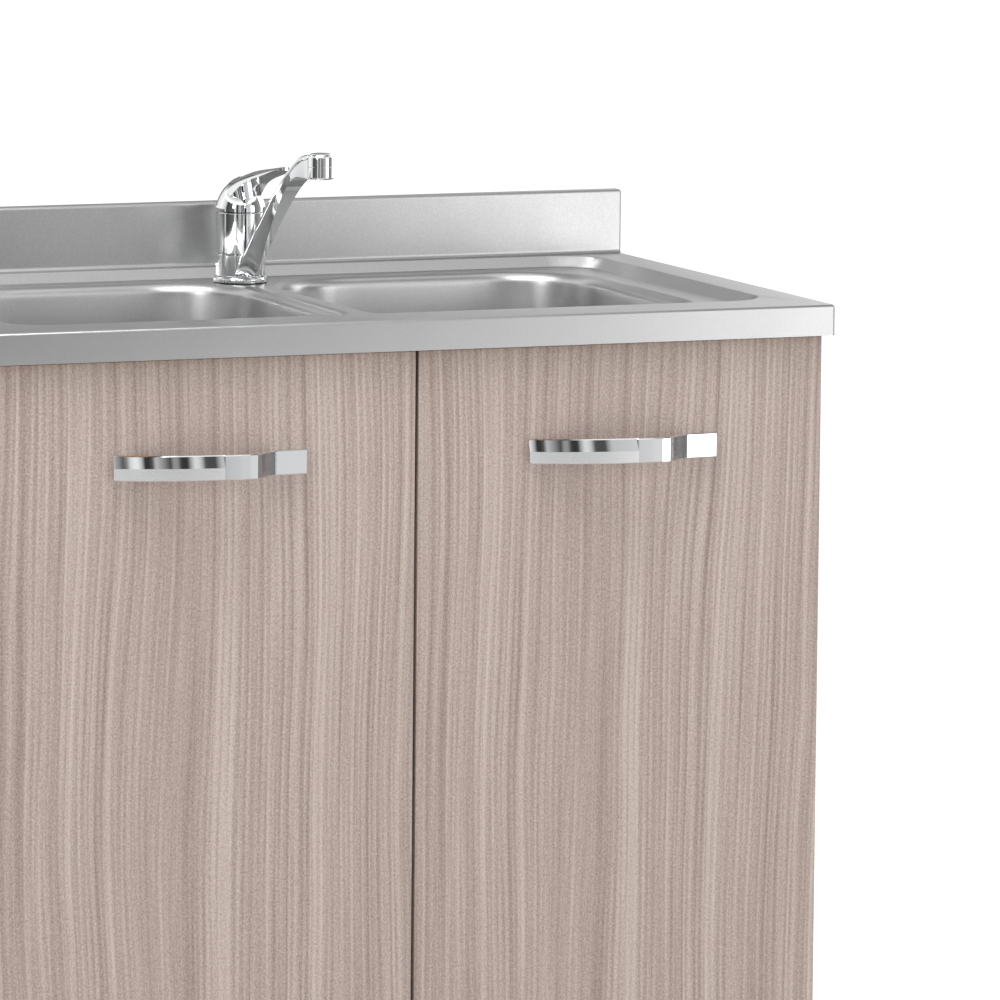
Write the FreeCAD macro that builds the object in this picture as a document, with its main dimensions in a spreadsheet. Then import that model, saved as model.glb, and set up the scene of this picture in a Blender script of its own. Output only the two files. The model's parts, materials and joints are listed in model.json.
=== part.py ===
import FreeCAD, Part
import math
import os
import re
import Sketcher

Vector = FreeCAD.Vector
Rotation = FreeCAD.Rotation

# Two-door base cabinet with a pressed double-bowl sink top and a single lever mixer.
# Millimetres. X runs along the front to the right, Y to the back, Z up from the floor.
# The origin is on the floor under the middle of the whole unit, handles included.

DIMENSIONS = {
    # sink top: a lay-on top of nominal size 800 x 500 at 850 above the floor
    "top_width": 804,
    "top_depth": 500,
    "top_height": 850,
    "fascia_height": 28,
    "splash_height": 60,
    "splash_depth": 12,
    "gauge": 0.8,
    "corner_round": 3.6,
    "bend_round": 3,
    "recess_depth": 10,
    "recess_run": 10,
    "rim_front": 56,
    "rim_side": 37,
    "rim_back": 18,
    "recess_corner": 45,
    "lip_height": 14,
    # bowls
    "bowl_width": 310,
    "bowl_length": 350,
    "bowl_depth": 150,
    "bowl_corner": 80,
    "bowl_draft": 2,
    "bowl_floor_round": 25,
    "bowl_roll": 8,
    "bowl_flange": 9,
    "bowl_pitch": 338,
    "bowl_back_gap": 55,
    "waste_recess_radius": 58,
    "waste_recess_depth": 5,
    "waste_hole_radius": 45,
    # cabinet
    "carcass_width": 790,
    "carcass_depth": 458,
    "carcass_back_gap": 10,
    "carcass_bottom": 100,
    "carcass_top": 822,
    "board": 16,
    "rail_height": 100,
    "front_rail_height": 80,
    "plinth_height": 92,
    "plinth_set_back": 34,
    # doors
    "door_thickness": 18,
    "door_set_back": 12,
    "door_gap": 3,
    "door_reveal": 1.5,
    "door_play": 2,
    "door_bottom": 103,
    "door_top": 820.5,
    "door_edge_round": 1,
    # handles
    "handle_length": 183,
    "handle_height": 22,
    "handle_reach": 32,
    "handle_below_top": 93.5,
    "handle_lean": 3.4,
    "bow_foot": 7,
    "bow_round": 260,
    "handle_screw_pitch": 160,
    # concealed hinges, measured from the side board's inner front corner
    "hinge_end_gap": 100,
    "cup_radius": 17.4,
    "cup_bore_radius": 17.5,
    "cup_depth": 12,
    "cup_from_edge": 22.5,
    "link_pivot_in": 24,
    "link_pivot_back": 5,
    "door_pivot_out": 5,
    "door_pivot_front": 6,
    "link_knee_in": 1.4,
    "link_knee_front": 8.2,
    "link_half": 1.2,
    "link_width": 8,
    "pin_radius": 1.5,
    "pin_clearance": 0.08,
    # mixer, measured from the recessed deck
    "tap_back_gap": 66,
    "tap_offset": -6,
    "tap_hole_radius": 17.5,
    "column_radius": 23,
    "core_radius": 19.2,
    "base_radius": 25.2,
    "seal_height": 1.2,
    "base_height": 6,
    "collar_height": 20.8,
    "column_top": 66,
    "joint_gap": 0.4,
    "cartridge_bore": 18.2,
    "cartridge_depth": 24,
    "spout_reach": 201,
    "arm_root": 19.5,
    "rib_width": 1.3,
    "rib_height": 5,
    "nozzle_radius": 12,
    "nozzle_bottom": 113.5,
    "nozzle_top": 137,
    "aerator_height": 11.5,
    "dome_shoulder": 70.5,
    "dome_crest": 98,
    "dome_round": 39,
    "lever_axis_height": 76,
    "lever_reach": 124,
    "lever_clear_angle": 22,
    "stud_radius": 4,
    "hose_bore_radius": 4.5,
    # drain
    "strainer_radius": 56,
    "strainer_cup_radius": 43,
    "strainer_cup_depth": 26,
    "seal_ring": 3,
    "waste_body_depth": 75,
    "pipe_radius": 20,
    "pipe_bore_radius": 18.2,
    "socket_bore_radius": 20.15,
    "socket_radius": 24,
    "pipe_bend": 40,
    "pipe_level": 545,
    "trap_level": 466,
    "trap_radius": 38,
    "outlet_end": 255,
    "insertion_depth": 60,
    # feet
    "foot_radius": 29,
    "leg_radius": 16,
    "leg_from_side": 48,
    "leg_from_front": 84,
    "leg_from_back": 60,
    "spindle_radius": 5,
}

doc = FreeCAD.newDocument("KitchenSinkUnit")
sheet = doc.addObject("Spreadsheet::Sheet", "Dims")
for row, (alias, size) in enumerate(DIMENSIONS.items(), start=1):
    sheet.set(f"A{row}", alias)
    sheet.set(f"B{row}", str(size))
    sheet.setAlias(f"B{row}", alias)
doc.recompute()

# Places that several pieces share, as expressions over the sheet.
BACK = "(top_depth + handle_reach - door_set_back) / 2"
FRONT = f"({BACK} - top_depth)"
DECK = "(top_height - recess_depth)"
DOOR_FRONT = f"({FRONT} + door_set_back)"
DOOR_REAR = f"({DOOR_FRONT} + door_thickness)"
CARCASS_FRONT = f"({DOOR_REAR} + door_play)"
CARCASS_BACK = f"({BACK} - carcass_back_gap)"
INNER_FACE = "(carcass_width / 2 - board)"
TAP_Y = f"({BACK} - tap_back_gap)"
BOWL_Y = f"({BACK} - bowl_back_gap - bowl_length / 2)"
BOWL_FLOOR = f"({DECK} - bowl_depth)"
WASTE_FLOOR = f"({BOWL_FLOOR} - waste_recess_depth)"

kept = []


def formula(text):
    """An expression over the sheet, with the sheet's name put before each alias."""
    return re.sub(r"[a-z][a-z_]+", lambda word: name_of(word.group(0)), str(text))


def name_of(word):
    return f"Dims.{word}" if word in DIMENSIONS else word


def number(text):
    return float(sheet.evalExpression(formula(text)))


def bind(feature, **sizes):
    for prop, text in sizes.items():
        feature.setExpression(prop, formula(text))
    return feature


def place(feature, x="0", y="0", z="0"):
    feature.setExpression(".Placement.Base.x", formula(x))
    feature.setExpression(".Placement.Base.y", formula(y))
    feature.setExpression(".Placement.Base.z", formula(z))
    return feature


def keep(feature, label):
    feature.Label = label
    kept.append(feature)
    return feature


# ---- primitives and booleans ----

def box(size, corner):
    feature = doc.addObject("Part::Box", "Box")
    bind(feature, Length=size[0], Width=size[1], Height=size[2])
    return place(feature, *corner)


def cylinder(radius, height, base, tilt=None):
    feature = doc.addObject("Part::Cylinder", "Cylinder")
    bind(feature, Radius=radius, Height=height)
    if tilt:
        feature.Placement = FreeCAD.Placement(Vector(), Rotation(Vector(*tilt[0]), tilt[1]))
    return place(feature, *base)


TOWARDS_BACK = ((1, 0, 0), -90)
TOWARDS_RIGHT = ((0, 1, 0), 90)


def cut(base, *tools):
    for tool in tools:
        feature = doc.addObject("Part::Cut", "Cut")
        feature.Base = base
        feature.Tool = tool
        base = feature
    return base


def fuse(*shapes):
    feature = doc.addObject("Part::MultiFuse", "Fuse")
    feature.Shapes = list(shapes)
    return feature


def common(first, second):
    feature = doc.addObject("Part::MultiCommon", "Common")
    feature.Shapes = [first, second]
    return feature


def group(*shapes):
    feature = doc.addObject("Part::Compound", "Group")
    feature.Links = list(shapes)
    return feature


# ---- bodies, sketches and features ----

def new_body(x="0", y="0", z="0"):
    return place(doc.addObject("PartDesign::Body", "Body"), x, y, z)


def sketch_on(body, role, offset="0"):
    """An empty sketch on one of the body's own planes, moved along the plane's normal."""
    plane = [part for part in body.Origin.OriginFeatures if part.Role == role][0]
    sketch = body.newObject("Sketcher::SketchObject", "Sketch")
    sketch.AttachmentSupport = [(plane, "")]
    sketch.MapMode = "FlatFace"
    sketch.setExpression(".AttachmentOffset.Base.z", formula(offset))
    return sketch


def constrain(sketch, name, text, kind, *where):
    index = sketch.addConstraint(Sketcher.Constraint(kind, *where, number(text)))
    sketch.renameConstraint(index, name)
    sketch.setExpression(f"Constraints.{name}", formula(text))


def arc_between(start, end, radius):
    """The short arc from start to end; a positive radius turns left, a negative one right."""
    middle = (start + end) / 2
    half = (end - start) / 2
    rise = math.sqrt(max(radius * radius - half.Length ** 2, 0))
    side = Vector(-half.y, half.x, 0).normalize() * math.copysign(rise, radius)
    centre = middle + side
    circle = Part.Circle(centre, Vector(0, 0, 1), abs(radius))
    first, last = (start, end) if radius > 0 else (end, start)
    angle_first = math.atan2(first.y - centre.y, first.x - centre.x)
    angle_last = math.atan2(last.y - centre.y, last.x - centre.x)
    return Part.ArcOfCircle(circle, angle_first, angle_last)


def outline(sketch, points):
    """A closed outline. A point is (u, v), or (u, v, radius) where an arc leaves it."""
    first_edge = sketch.GeometryCount
    spots = [Vector(number(point[0]), number(point[1]), 0) for point in points]
    ends = []
    for index, point in enumerate(points):
        start = spots[index]
        end = spots[(index + 1) % len(points)]
        if len(point) == 3:
            radius = number(point[2])
            sketch.addGeometry(arc_between(start, end, radius), False)
            ends.append((1, 2) if radius > 0 else (2, 1))
        else:
            sketch.addGeometry(Part.LineSegment(start, end), False)
            ends.append((1, 2))
    for index in range(len(points)):
        following = (index + 1) % len(points)
        sketch.addConstraint(Sketcher.Constraint(
            "Coincident", first_edge + index, ends[index][1], first_edge + following, ends[following][0]))
    for index, point in enumerate(points):
        edge = first_edge + index
        constrain(sketch, f"u{edge}", point[0], "DistanceX", -1, 1, edge, ends[index][0])
        constrain(sketch, f"v{edge}", point[1], "DistanceY", -1, 1, edge, ends[index][0])
        if len(point) == 3:
            constrain(sketch, f"r{edge}", f"abs({point[2]})", "Radius", edge)
    return sketch


def circle(sketch, radius, u="0", v="0"):
    edge = sketch.GeometryCount
    centre = Vector(number(u), number(v), 0)
    sketch.addGeometry(Part.Circle(centre, Vector(0, 0, 1), number(radius)), False)
    constrain(sketch, f"u{edge}", u, "DistanceX", -1, 1, edge, 3)
    constrain(sketch, f"v{edge}", v, "DistanceY", -1, 1, edge, 3)
    constrain(sketch, f"r{edge}", radius, "Radius", edge)
    return sketch


def rounded_rectangle(sketch, left, low, right, high, radius):
    """A rectangle with four equal round corners, walked to the left round the outline."""
    return outline(sketch, [
        (f"{left} + {radius}", low),
        (f"{right} - {radius}", low, radius),
        (right, f"{low} + {radius}"),
        (right, f"{high} - {radius}", radius),
        (f"{right} - {radius}", high),
        (f"{left} + {radius}", high, radius),
        (left, f"{high} - {radius}"),
        (left, f"{low} + {radius}", radius),
    ])


def pad(body, sketch, length, reverse=False, both=False, kind="Pad", taper=None):
    """A pad or a pocket of the sketch; a change of volume that is missing is an error."""
    before = body.Tip.Shape.Volume if body.Tip else 0
    feature = body.newObject(f"PartDesign::{kind}", kind)
    feature.Profile = sketch
    feature.Reversed = reverse
    feature.SideType = "Symmetric" if both else "One side"
    bind(feature, Length=length)
    if taper:
        bind(feature, TaperAngle=taper)
    doc.recompute()
    if abs(feature.Shape.Volume - before) < 1e-6:
        raise ValueError(f"{kind} changes nothing")
    return feature


def pocket(body, sketch, length, reverse=False, both=False, taper=None):
    return pad(body, sketch, length, reverse, both, "Pocket", taper)


def revolve(body, sketch, kind="Revolution"):
    """Turn the sketch round its own vertical axis."""
    feature = body.newObject(f"PartDesign::{kind}", kind)
    feature.Profile = sketch
    feature.ReferenceAxis = (sketch, ["V_Axis"])
    feature.Angle = 360
    doc.recompute()
    return feature


def loft(body, sketches, kind="AdditiveLoft", ruled=False):
    feature = body.newObject(f"PartDesign::{kind}", kind)
    feature.Profile = sketches[0]
    feature.Sections = sketches[1:]
    feature.Ruled = ruled
    doc.recompute()
    return feature


def edges_where(body, test):
    """Names of the edges of the body's last feature whose middle point passes the test."""
    found = []
    for index, edge in enumerate(body.Tip.Shape.Edges, start=1):
        middle = edge.valueAt((edge.FirstParameter + edge.LastParameter) / 2)
        if test(edge, middle):
            found.append(f"Edge{index}")
    if not found:
        raise ValueError("no edge to round")
    return found


def soften(body, test, size, kind="Fillet"):
    """Round or bevel the edges that pass the test."""
    base = body.Tip
    names = edges_where(body, test)
    feature = body.newObject(f"PartDesign::{kind}", kind)
    feature.Base = (base, names)
    bind(feature, **{"Radius" if kind == "Fillet" else "Size": size})
    doc.recompute()
    if feature.Shape.isNull() or not feature.isValid():
        raise ValueError(f"{kind} of {size} on {names} fails")
    return feature


def near(value, target, slack=0.05):
    return abs(value - target) < slack


def is_level(edge, height):
    return near(edge.BoundBox.ZMin, height) and near(edge.BoundBox.ZMax, height)


def turned_piece(points, x="0", y="0", z="0"):
    """A body turned round a vertical axis from its half outline (radius, height)."""
    body = new_body(x, y, z)
    revolve(body, outline(sketch_on(body, "XZ_Plane"), points))
    return body


def extruded_piece(role, points, length, at=("0", "0", "0"), both=False):
    body = new_body(*at)
    pad(body, outline(sketch_on(body, role), points), length, both=both)
    return body


# ---- sink top ----

def deck_form(inset):
    """The top's outer form, or with an inset the form that fills it below the sheet."""
    body = new_body(y=BACK, z="top_height")
    half = f"(top_width / 2 - {inset})"
    skirt_foot = f"(-fascia_height - 2 * {inset})"
    block = rounded_rectangle(
        sketch_on(body, "XY_Plane", skirt_foot),
        f"-{half}", f"-top_depth + {inset}", half, f"-{inset}", f"(corner_round - {inset})")
    pad(body, block, f"-{inset} - {skirt_foot}")
    upstand = outline(sketch_on(body, "XY_Plane", f"-{inset} - 2"), [
        (f"-{half}", f"{inset} - splash_depth"),
        (half, f"{inset} - splash_depth"),
        (half, f"-{inset}"),
        (f"-{half}", f"-{inset}"),
    ])
    pad(body, upstand, "splash_height + 2")
    sections = []
    for level, run in ((f"-recess_depth - {inset}", "recess_run"), (f"-{inset}", "0")):
        grow = f"({inset} - {run})"
        side = f"(top_width / 2 - rim_side + {grow})"
        sections.append(rounded_rectangle(
            sketch_on(body, "XY_Plane", level),
            f"-{side}", f"rim_front - top_depth - {grow}", side, f"{grow} - rim_back",
            f"(recess_corner + {grow})"))
    loft(body, sections, "SubtractiveLoft", ruled=True)

    low = number(f"-recess_depth - {inset}")
    high = number(f"-{inset}")
    foot = number(f"{inset} - splash_depth")
    side = number(half)
    front = number(f"-top_depth + {inset}")
    crest = number(f"splash_height - {inset}")
    soften(body, lambda edge, spot: is_level(edge, low), f"bend_round + {inset}")
    soften(body, lambda edge, spot: is_level(edge, high) and near(spot.y, foot), f"bend_round + 1 + {inset}")
    soften(body, lambda edge, spot: is_level(edge, high) and abs(spot.x) < side - 20
           and front + 20 < spot.y < foot - 2, f"bend_round - {inset}")
    soften(body, lambda edge, spot: is_level(edge, high)
           and (near(spot.y, front) or near(abs(spot.x), side, 2)), f"bend_round - {inset}")
    soften(body, lambda edge, spot: is_level(edge, crest) and near(spot.y, foot), f"bend_round - {inset}")
    return body


def bowl_opening(x):
    body = new_body(x, BOWL_Y, DECK)
    half_width = "(bowl_width / 2 + bowl_flange)"
    half_length = "(bowl_length / 2 + bowl_flange)"
    hole = rounded_rectangle(
        sketch_on(body, "XY_Plane"), f"-{half_width}", f"-{half_length}", half_width, half_length,
        "(bowl_corner + bowl_flange)")
    pad(body, hole, "4 * gauge", both=True)
    return body


def sink_deck():
    sheet_metal = cut(deck_form("0"), deck_form("gauge"))
    tap_hole = cylinder("tap_hole_radius", "4 * gauge", ("tap_offset", TAP_Y, f"{DECK} - 2 * gauge"))
    back_window = box(
        ("top_width - 2 * lip_height", "4 * gauge", "splash_height + fascia_height"),
        ("lip_height - top_width / 2", f"{BACK} - 2 * gauge", "top_height - fascia_height - lip_height"))
    openings = [bowl_opening(f"{side} * bowl_pitch / 2") for side in (-1, 1)]
    keep(cut(sheet_metal, *openings, tap_hole, back_window), "sink_deck")


def bowl_form(x, inset):
    """A bowl's outer form with the sheet's gauge as inset, or with none the hollow inside it."""
    body = new_body(x, BOWL_Y, DECK)

    def plan(level, grow):
        wide = f"(bowl_width / 2 + {grow})"
        long = f"(bowl_length / 2 + {grow})"
        return rounded_rectangle(sketch_on(body, "XY_Plane", level), f"-{wide}", f"-{long}", wide, long,
                                 f"(bowl_corner + {grow})")

    pad(body, plan(f"-{inset}", "bowl_flange"), "gauge")
    pad(body, plan(f"gauge / 2 - {inset}", inset), "bowl_depth + gauge / 2", reverse=True,
        taper="-bowl_draft")
    brim = number(f"-{inset}")
    floor = number(f"-bowl_depth - {inset}")
    straight_wide = number("bowl_width / 2 - bowl_corner")
    straight_long = number("bowl_length / 2 - bowl_corner")
    wall_reach = number("bowl_corner + bowl_flange / 2")

    def on_wall(edge, spot, level):
        """Whether the edge is level there, and nearer to the wall than to the flange's rim."""
        past_x = max(abs(spot.x) - straight_wide, 0)
        past_y = max(abs(spot.y) - straight_long, 0)
        return is_level(edge, level) and math.hypot(past_x, past_y) < wall_reach

    soften(body, lambda edge, spot: on_wall(edge, spot, brim), f"bowl_roll - {inset}")
    soften(body, lambda edge, spot: on_wall(edge, spot, floor), f"bowl_floor_round + {inset}")
    seat = circle(sketch_on(body, "XY_Plane", f"-bowl_depth - {inset} + gauge"), f"waste_recess_radius + {inset}")
    pad(body, seat, "waste_recess_depth + gauge", reverse=True)
    return body


def bowl(label, x):
    """Drawn bowl: rolled edge to the deck, drafted walls, round floor, sunk waste seat."""
    hole = cylinder("waste_hole_radius", "4 * gauge", (x, BOWL_Y, f"{WASTE_FLOOR} - 2 * gauge"))
    keep(cut(bowl_form(x, "gauge"), bowl_form(x, "0"), hole), label)


def packing_frame():
    """Chipboard strips that fill the rim and rest on the carcass."""
    height = "top_height - gauge - carcass_top"
    strips = [
        box(("top_width - 7", "rim_front - 6", height),
            ("3.5 - top_width / 2", f"{FRONT} + 3.5", "carcass_top")),
        box(("top_width - 2 * rim_side + 4", "rim_back + 4", f"{DECK} - 2 * gauge - carcass_top"),
            ("rim_side - 2 - top_width / 2", f"{BACK} - 2 * gauge - rim_back - 4", "carcass_top")),
    ]
    for left in ("3.5 - top_width / 2", "top_width / 2 - rim_side + 2"):
        strips.append(box(
            ("rim_side - 5.5", "top_depth - 7", height), (left, f"{FRONT} + 3.5", "carcass_top")))
    over_doors = box(("top_width", f"{CARCASS_FRONT} - ({FRONT}) + 2", "1.5"),
                     ("-top_width / 2", FRONT, "carcass_top"))
    keep(cut(fuse(*strips), over_doors), "packing_frame")


def fixing_brackets():
    """Four angle brackets that tie the packing frame to the side boards."""
    brackets = []
    for side in (-1, 1):
        for y in (-110, 150):
            profile = [
                (f"{side} * {INNER_FACE}", "0"),
                (f"{side} * ({INNER_FACE} - 24)", "0"),
                (f"{side} * ({INNER_FACE} - 24)", "-2"),
                (f"{side} * ({INNER_FACE} - 2)", "-2"),
                (f"{side} * ({INNER_FACE} - 2)", "-32"),
                (f"{side} * {INNER_FACE}", "-32"),
            ]
            brackets.append(extruded_piece("XZ_Plane", profile, "30", ("0", str(y), "carcass_top"), both=True))
    keep(group(*brackets), "fixing_brackets")


# ---- mixer ----

AXIS = ("tap_offset", TAP_Y, DECK)
COLLAR_FOOT = "(base_height + joint_gap)"
COLLAR_HEAD = f"({COLLAR_FOOT} + collar_height)"
COLUMN_FOOT = f"({COLLAR_HEAD} + joint_gap)"
CARTRIDGE_FOOT = "(column_top - cartridge_depth)"
LEVER_FOOT = "(column_top + 2 * joint_gap)"


def mixer_column():
    keep(turned_piece([
        ("core_radius + pin_clearance", "0"), ("base_radius - 1", "0"),
        ("base_radius - 1", "seal_height"), ("core_radius + pin_clearance", "seal_height"),
    ], *AXIS), "mixer_seal")
    keep(turned_piece([
        ("core_radius + pin_clearance", "seal_height"), ("base_radius", "seal_height"),
        ("base_radius", "base_height - 2.5", "2.5"), ("base_radius - 2.5", "base_height"),
        ("core_radius + pin_clearance", "base_height"),
    ], *AXIS), "mixer_base_ring")
    body = turned_piece([
        ("0", "0"), ("core_radius", "0"), ("core_radius", COLUMN_FOOT), ("column_radius - 1", COLUMN_FOOT),
        ("column_radius", f"{COLUMN_FOOT} + 1"), ("column_radius", "column_top - 1"),
        ("column_radius - 1", "column_top"), ("cartridge_bore", "column_top"),
        ("cartridge_bore", CARTRIDGE_FOOT), ("0", CARTRIDGE_FOOT),
    ], *AXIS)
    inlets = sketch_on(body, "XY_Plane")
    circle(inlets, "hose_bore_radius", "-9", "-5")
    circle(inlets, "hose_bore_radius", "9", "-5")
    pocket(body, inlets, "15", reverse=True)
    pocket(body, circle(sketch_on(body, "XY_Plane"), "stud_radius", "0", "10"), "15", reverse=True)
    keep(body, "mixer_body")


def spout_section(body, reach, foot, crest, foot_width, crest_width):
    """Section of the arm in an upright plane that far in front of the axis: a keel under a ribbed edge."""
    keel = f"({foot_width} / 2)"
    brow = f"({crest_width} / 2)"
    side = [
        (keel, foot),
        (f"{brow} - rib_width", f"{crest} - rib_height"),
        (brow, f"{crest} - rib_height + 1.1"),
        (brow, f"{crest} - 1.4"),
        (f"{brow} - 1.6", crest),
    ]
    other_side = [(f"-({across})", level) for across, level in reversed(side)]
    return outline(sketch_on(body, "XZ_Plane", reach), side + other_side)


def swivel_spout():
    """Collar round the core, keeled arm that climbs to the front, upright nozzle."""
    body = turned_piece([
        ("core_radius + pin_clearance", COLLAR_FOOT), ("column_radius - 1", COLLAR_FOOT),
        ("column_radius", f"{COLLAR_FOOT} + 1"), ("column_radius", f"{COLLAR_HEAD} - 1"),
        ("column_radius - 1", COLLAR_HEAD), ("core_radius + pin_clearance", COLLAR_HEAD),
    ], *AXIS)
    # reach, foot, crest, width at the foot, width at the crest: the keel is sharp low down and flat at the nozzle
    sections = [
        ("arm_root", "7.4", "14", 12, 25),
        ("30", "8.2", "24", 6, 24.5),
        ("45", "12.5", "38", 3.6, 23.5),
        ("60", "27", "52.5", 3.6, 22.5),
        ("76", "46.5", "66", 6.5, 21.5),
        ("95", "66.5", "83", 9.5, 21),
        ("115", "85", "98.5", 12.5, 20.5),
        ("135", "100.5", "112", 15, 20.5),
        ("152", "109.5", "121.5", 17, 21),
        ("170", "nozzle_bottom - 0.5", "nozzle_top - 7", 18.5, 22),
        ("spout_reach - 14", "nozzle_bottom", "nozzle_top - 2.5", 20, 22.5),
        ("spout_reach - 5", "nozzle_bottom", "nozzle_top - 1", 20, 22.5),
    ]
    loft(body, [spout_section(body, *section) for section in sections])
    seam = "(nozzle_bottom + aerator_height)"
    nozzle_at = ("tap_offset", f"{TAP_Y} - spout_reach")
    nozzle = turned_piece([
        ("0", seam), ("nozzle_radius", seam), ("nozzle_radius", "nozzle_top - 4.5", "4.7"),
        ("nozzle_radius - 4.5", "nozzle_top"), ("0", "nozzle_top"),
    ], *nozzle_at, DECK)
    ring_room = cylinder("nozzle_radius + 0.3", "aerator_height + 3", (*nozzle_at, f"{DECK} + nozzle_bottom - 3"))
    bore = cylinder("nozzle_radius - 2.5", "8 + 1", (*nozzle_at, f"{DECK} + {seam} - 1"))
    keep(cut(fuse(body, nozzle), ring_room, bore), "swivel_spout")


def aerator():
    place_of = ("tap_offset", f"{TAP_Y} - spout_reach", f"{DECK} + nozzle_bottom")
    keep(turned_piece([
        ("nozzle_radius - 4.5", "0"), ("nozzle_radius - 2", "0", "2.1"), ("nozzle_radius", "2"),
        ("nozzle_radius", "aerator_height - 0.3"), ("nozzle_radius - 2.6", "aerator_height - 0.3"),
        ("nozzle_radius - 2.6", "aerator_height + 6"), ("nozzle_radius - 4.5", "aerator_height + 6"),
    ], *place_of), "aerator_housing")
    insert = turned_piece([
        ("0", "1.5"), ("nozzle_radius - 4.6", "1.5"), ("nozzle_radius - 4.6", "aerator_height + 5"),
        ("0", "aerator_height + 5"),
    ], *place_of)
    holes = sketch_on(insert, "XY_Plane")
    for ring, count in ((2.4, 4), (5.4, 10)):
        for step in range(count):
            turn = 2 * math.pi * step / count
            circle(holes, "0.7", f"{ring * math.cos(turn):.4f}", f"{ring * math.sin(turn):.4f}")
    pocket(insert, holes, "aerator_height + 6", reverse=True)
    keep(insert, "aerator_insert")


def cartridge():
    """Housing in the column, clamp nut, turning carrier with its cross pin, tilting spindle."""
    keep(turned_piece([
        ("0", CARTRIDGE_FOOT), ("cartridge_bore - 0.6", CARTRIDGE_FOOT),
        ("cartridge_bore - 0.6", "column_top - 8"), ("11", "column_top - 8"), ("11", "column_top - 4"),
        ("0", "column_top - 4"),
    ], *AXIS), "cartridge_housing")
    keep(turned_piece([
        ("11.2", "column_top - 8"), ("cartridge_bore - pin_clearance", "column_top - 8"),
        ("cartridge_bore - pin_clearance", "column_top"), ("12.5", "column_top + 5"), ("11.2", "column_top + 5"),
    ], *AXIS), "cartridge_nut")
    carrier = turned_piece([
        ("0", "column_top - 3.7"), ("10.7", "column_top - 3.7"), ("10.7", "lever_axis_height + 3"),
        ("7", "lever_axis_height + 3"), ("7", "column_top - 1"), ("0", "column_top - 1"),
    ], *AXIS)
    pin = cylinder("pin_radius", "18", ("tap_offset - 9", TAP_Y, f"{DECK} + lever_axis_height"), TOWARDS_RIGHT)
    keep(fuse(carrier, pin), "cartridge_carrier")
    spindle = turned_piece([
        ("0", "lever_axis_height - 6"), ("4", "lever_axis_height - 6"), ("4", "lever_axis_height + 13"),
        ("0", "lever_axis_height + 13"),
    ], *AXIS)
    eye = cylinder("pin_radius + pin_clearance", "18",
                   ("tap_offset - 9", TAP_Y, f"{DECK} + lever_axis_height"), TOWARDS_RIGHT)
    keep(cut(spindle, eye), "lever_spindle")


def blade_section(body, reach, foot, shoulder, crest, width):
    """Section of the lever that far in front of the axis: flat below, crowned by one arc."""
    half = f"({width} / 2)"
    rise = f"({crest} - {shoulder})"
    crown = f"(({half} * {half} + {rise} * {rise}) / (2 * {rise}))"
    return outline(sketch_on(body, "XZ_Plane", reach), [
        (f"-{half}", foot), (half, foot), (half, shoulder, crown), (f"-{half}", shoulder),
    ])


def lever():
    """Dome and lever in one casting: a turned dome, and a crowned blade that grows out of it."""
    dome = turned_piece([
        ("0", LEVER_FOOT), ("column_radius", LEVER_FOOT), ("column_radius", "dome_shoulder", "dome_round"),
        ("2", "dome_crest"), ("0", "dome_crest"),
    ], *AXIS)
    blade = new_body(*AXIS)
    # reach, foot, shoulder, crest, width
    sections = [
        ("1", 74, 84, 97.8, 32),
        ("14", 82, 90, 100, 30),
        ("30", 91.5, 96, 104, 26.5),
        ("58", 101.3, 103.5, 109.4, 22.5),
        ("90", 108.8, 110.3, 113.8, 20),
        ("lever_reach", 114.3, 115.2, 117.4, 18),
    ]
    loft(blade, [blade_section(blade, *section) for section in sections])
    tip = extruded_piece("XY_Plane", [
        ("-9.2", "9 - lever_reach", "9.6"), ("9.2", "9 - lever_reach"), ("30", "0"), ("30", "30"),
        ("-30", "30"), ("-30", "0"),
    ], "nozzle_top", AXIS)
    wedge = extruded_piece("YZ_Plane", [
        ("0", "column_top"), ("2 * column_radius", "column_top"),
        ("2 * column_radius", f"{LEVER_FOOT} + 2 * column_radius * tan(lever_clear_angle * 1deg)"),
        ("0", LEVER_FOOT),
    ], "3 * column_radius", AXIS, both=True)
    hollow = turned_piece([
        ("0", "column_top - 1"), ("column_radius - 3.4", "column_top - 1"),
        ("column_radius - 3.4", "dome_shoulder + 0.5", "dome_round - 3.2"), ("8.2", "90"), ("0", "90"),
    ], *AXIS)
    casting = cut(fuse(dome, common(blade, tip)), wedge, hollow)
    screw_level = f"{DECK} + lever_axis_height + 9"
    screw_hole = cylinder("2.6", "column_radius", ("tap_offset", f"{TAP_Y} + 3.9", screw_level), TOWARDS_BACK)
    keep(cut(casting, screw_hole), "lever")
    keep(cylinder("2.5", "11.5", ("tap_offset", f"{TAP_Y} + 4.1", screw_level), TOWARDS_BACK), "lever_grub_screw")


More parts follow.
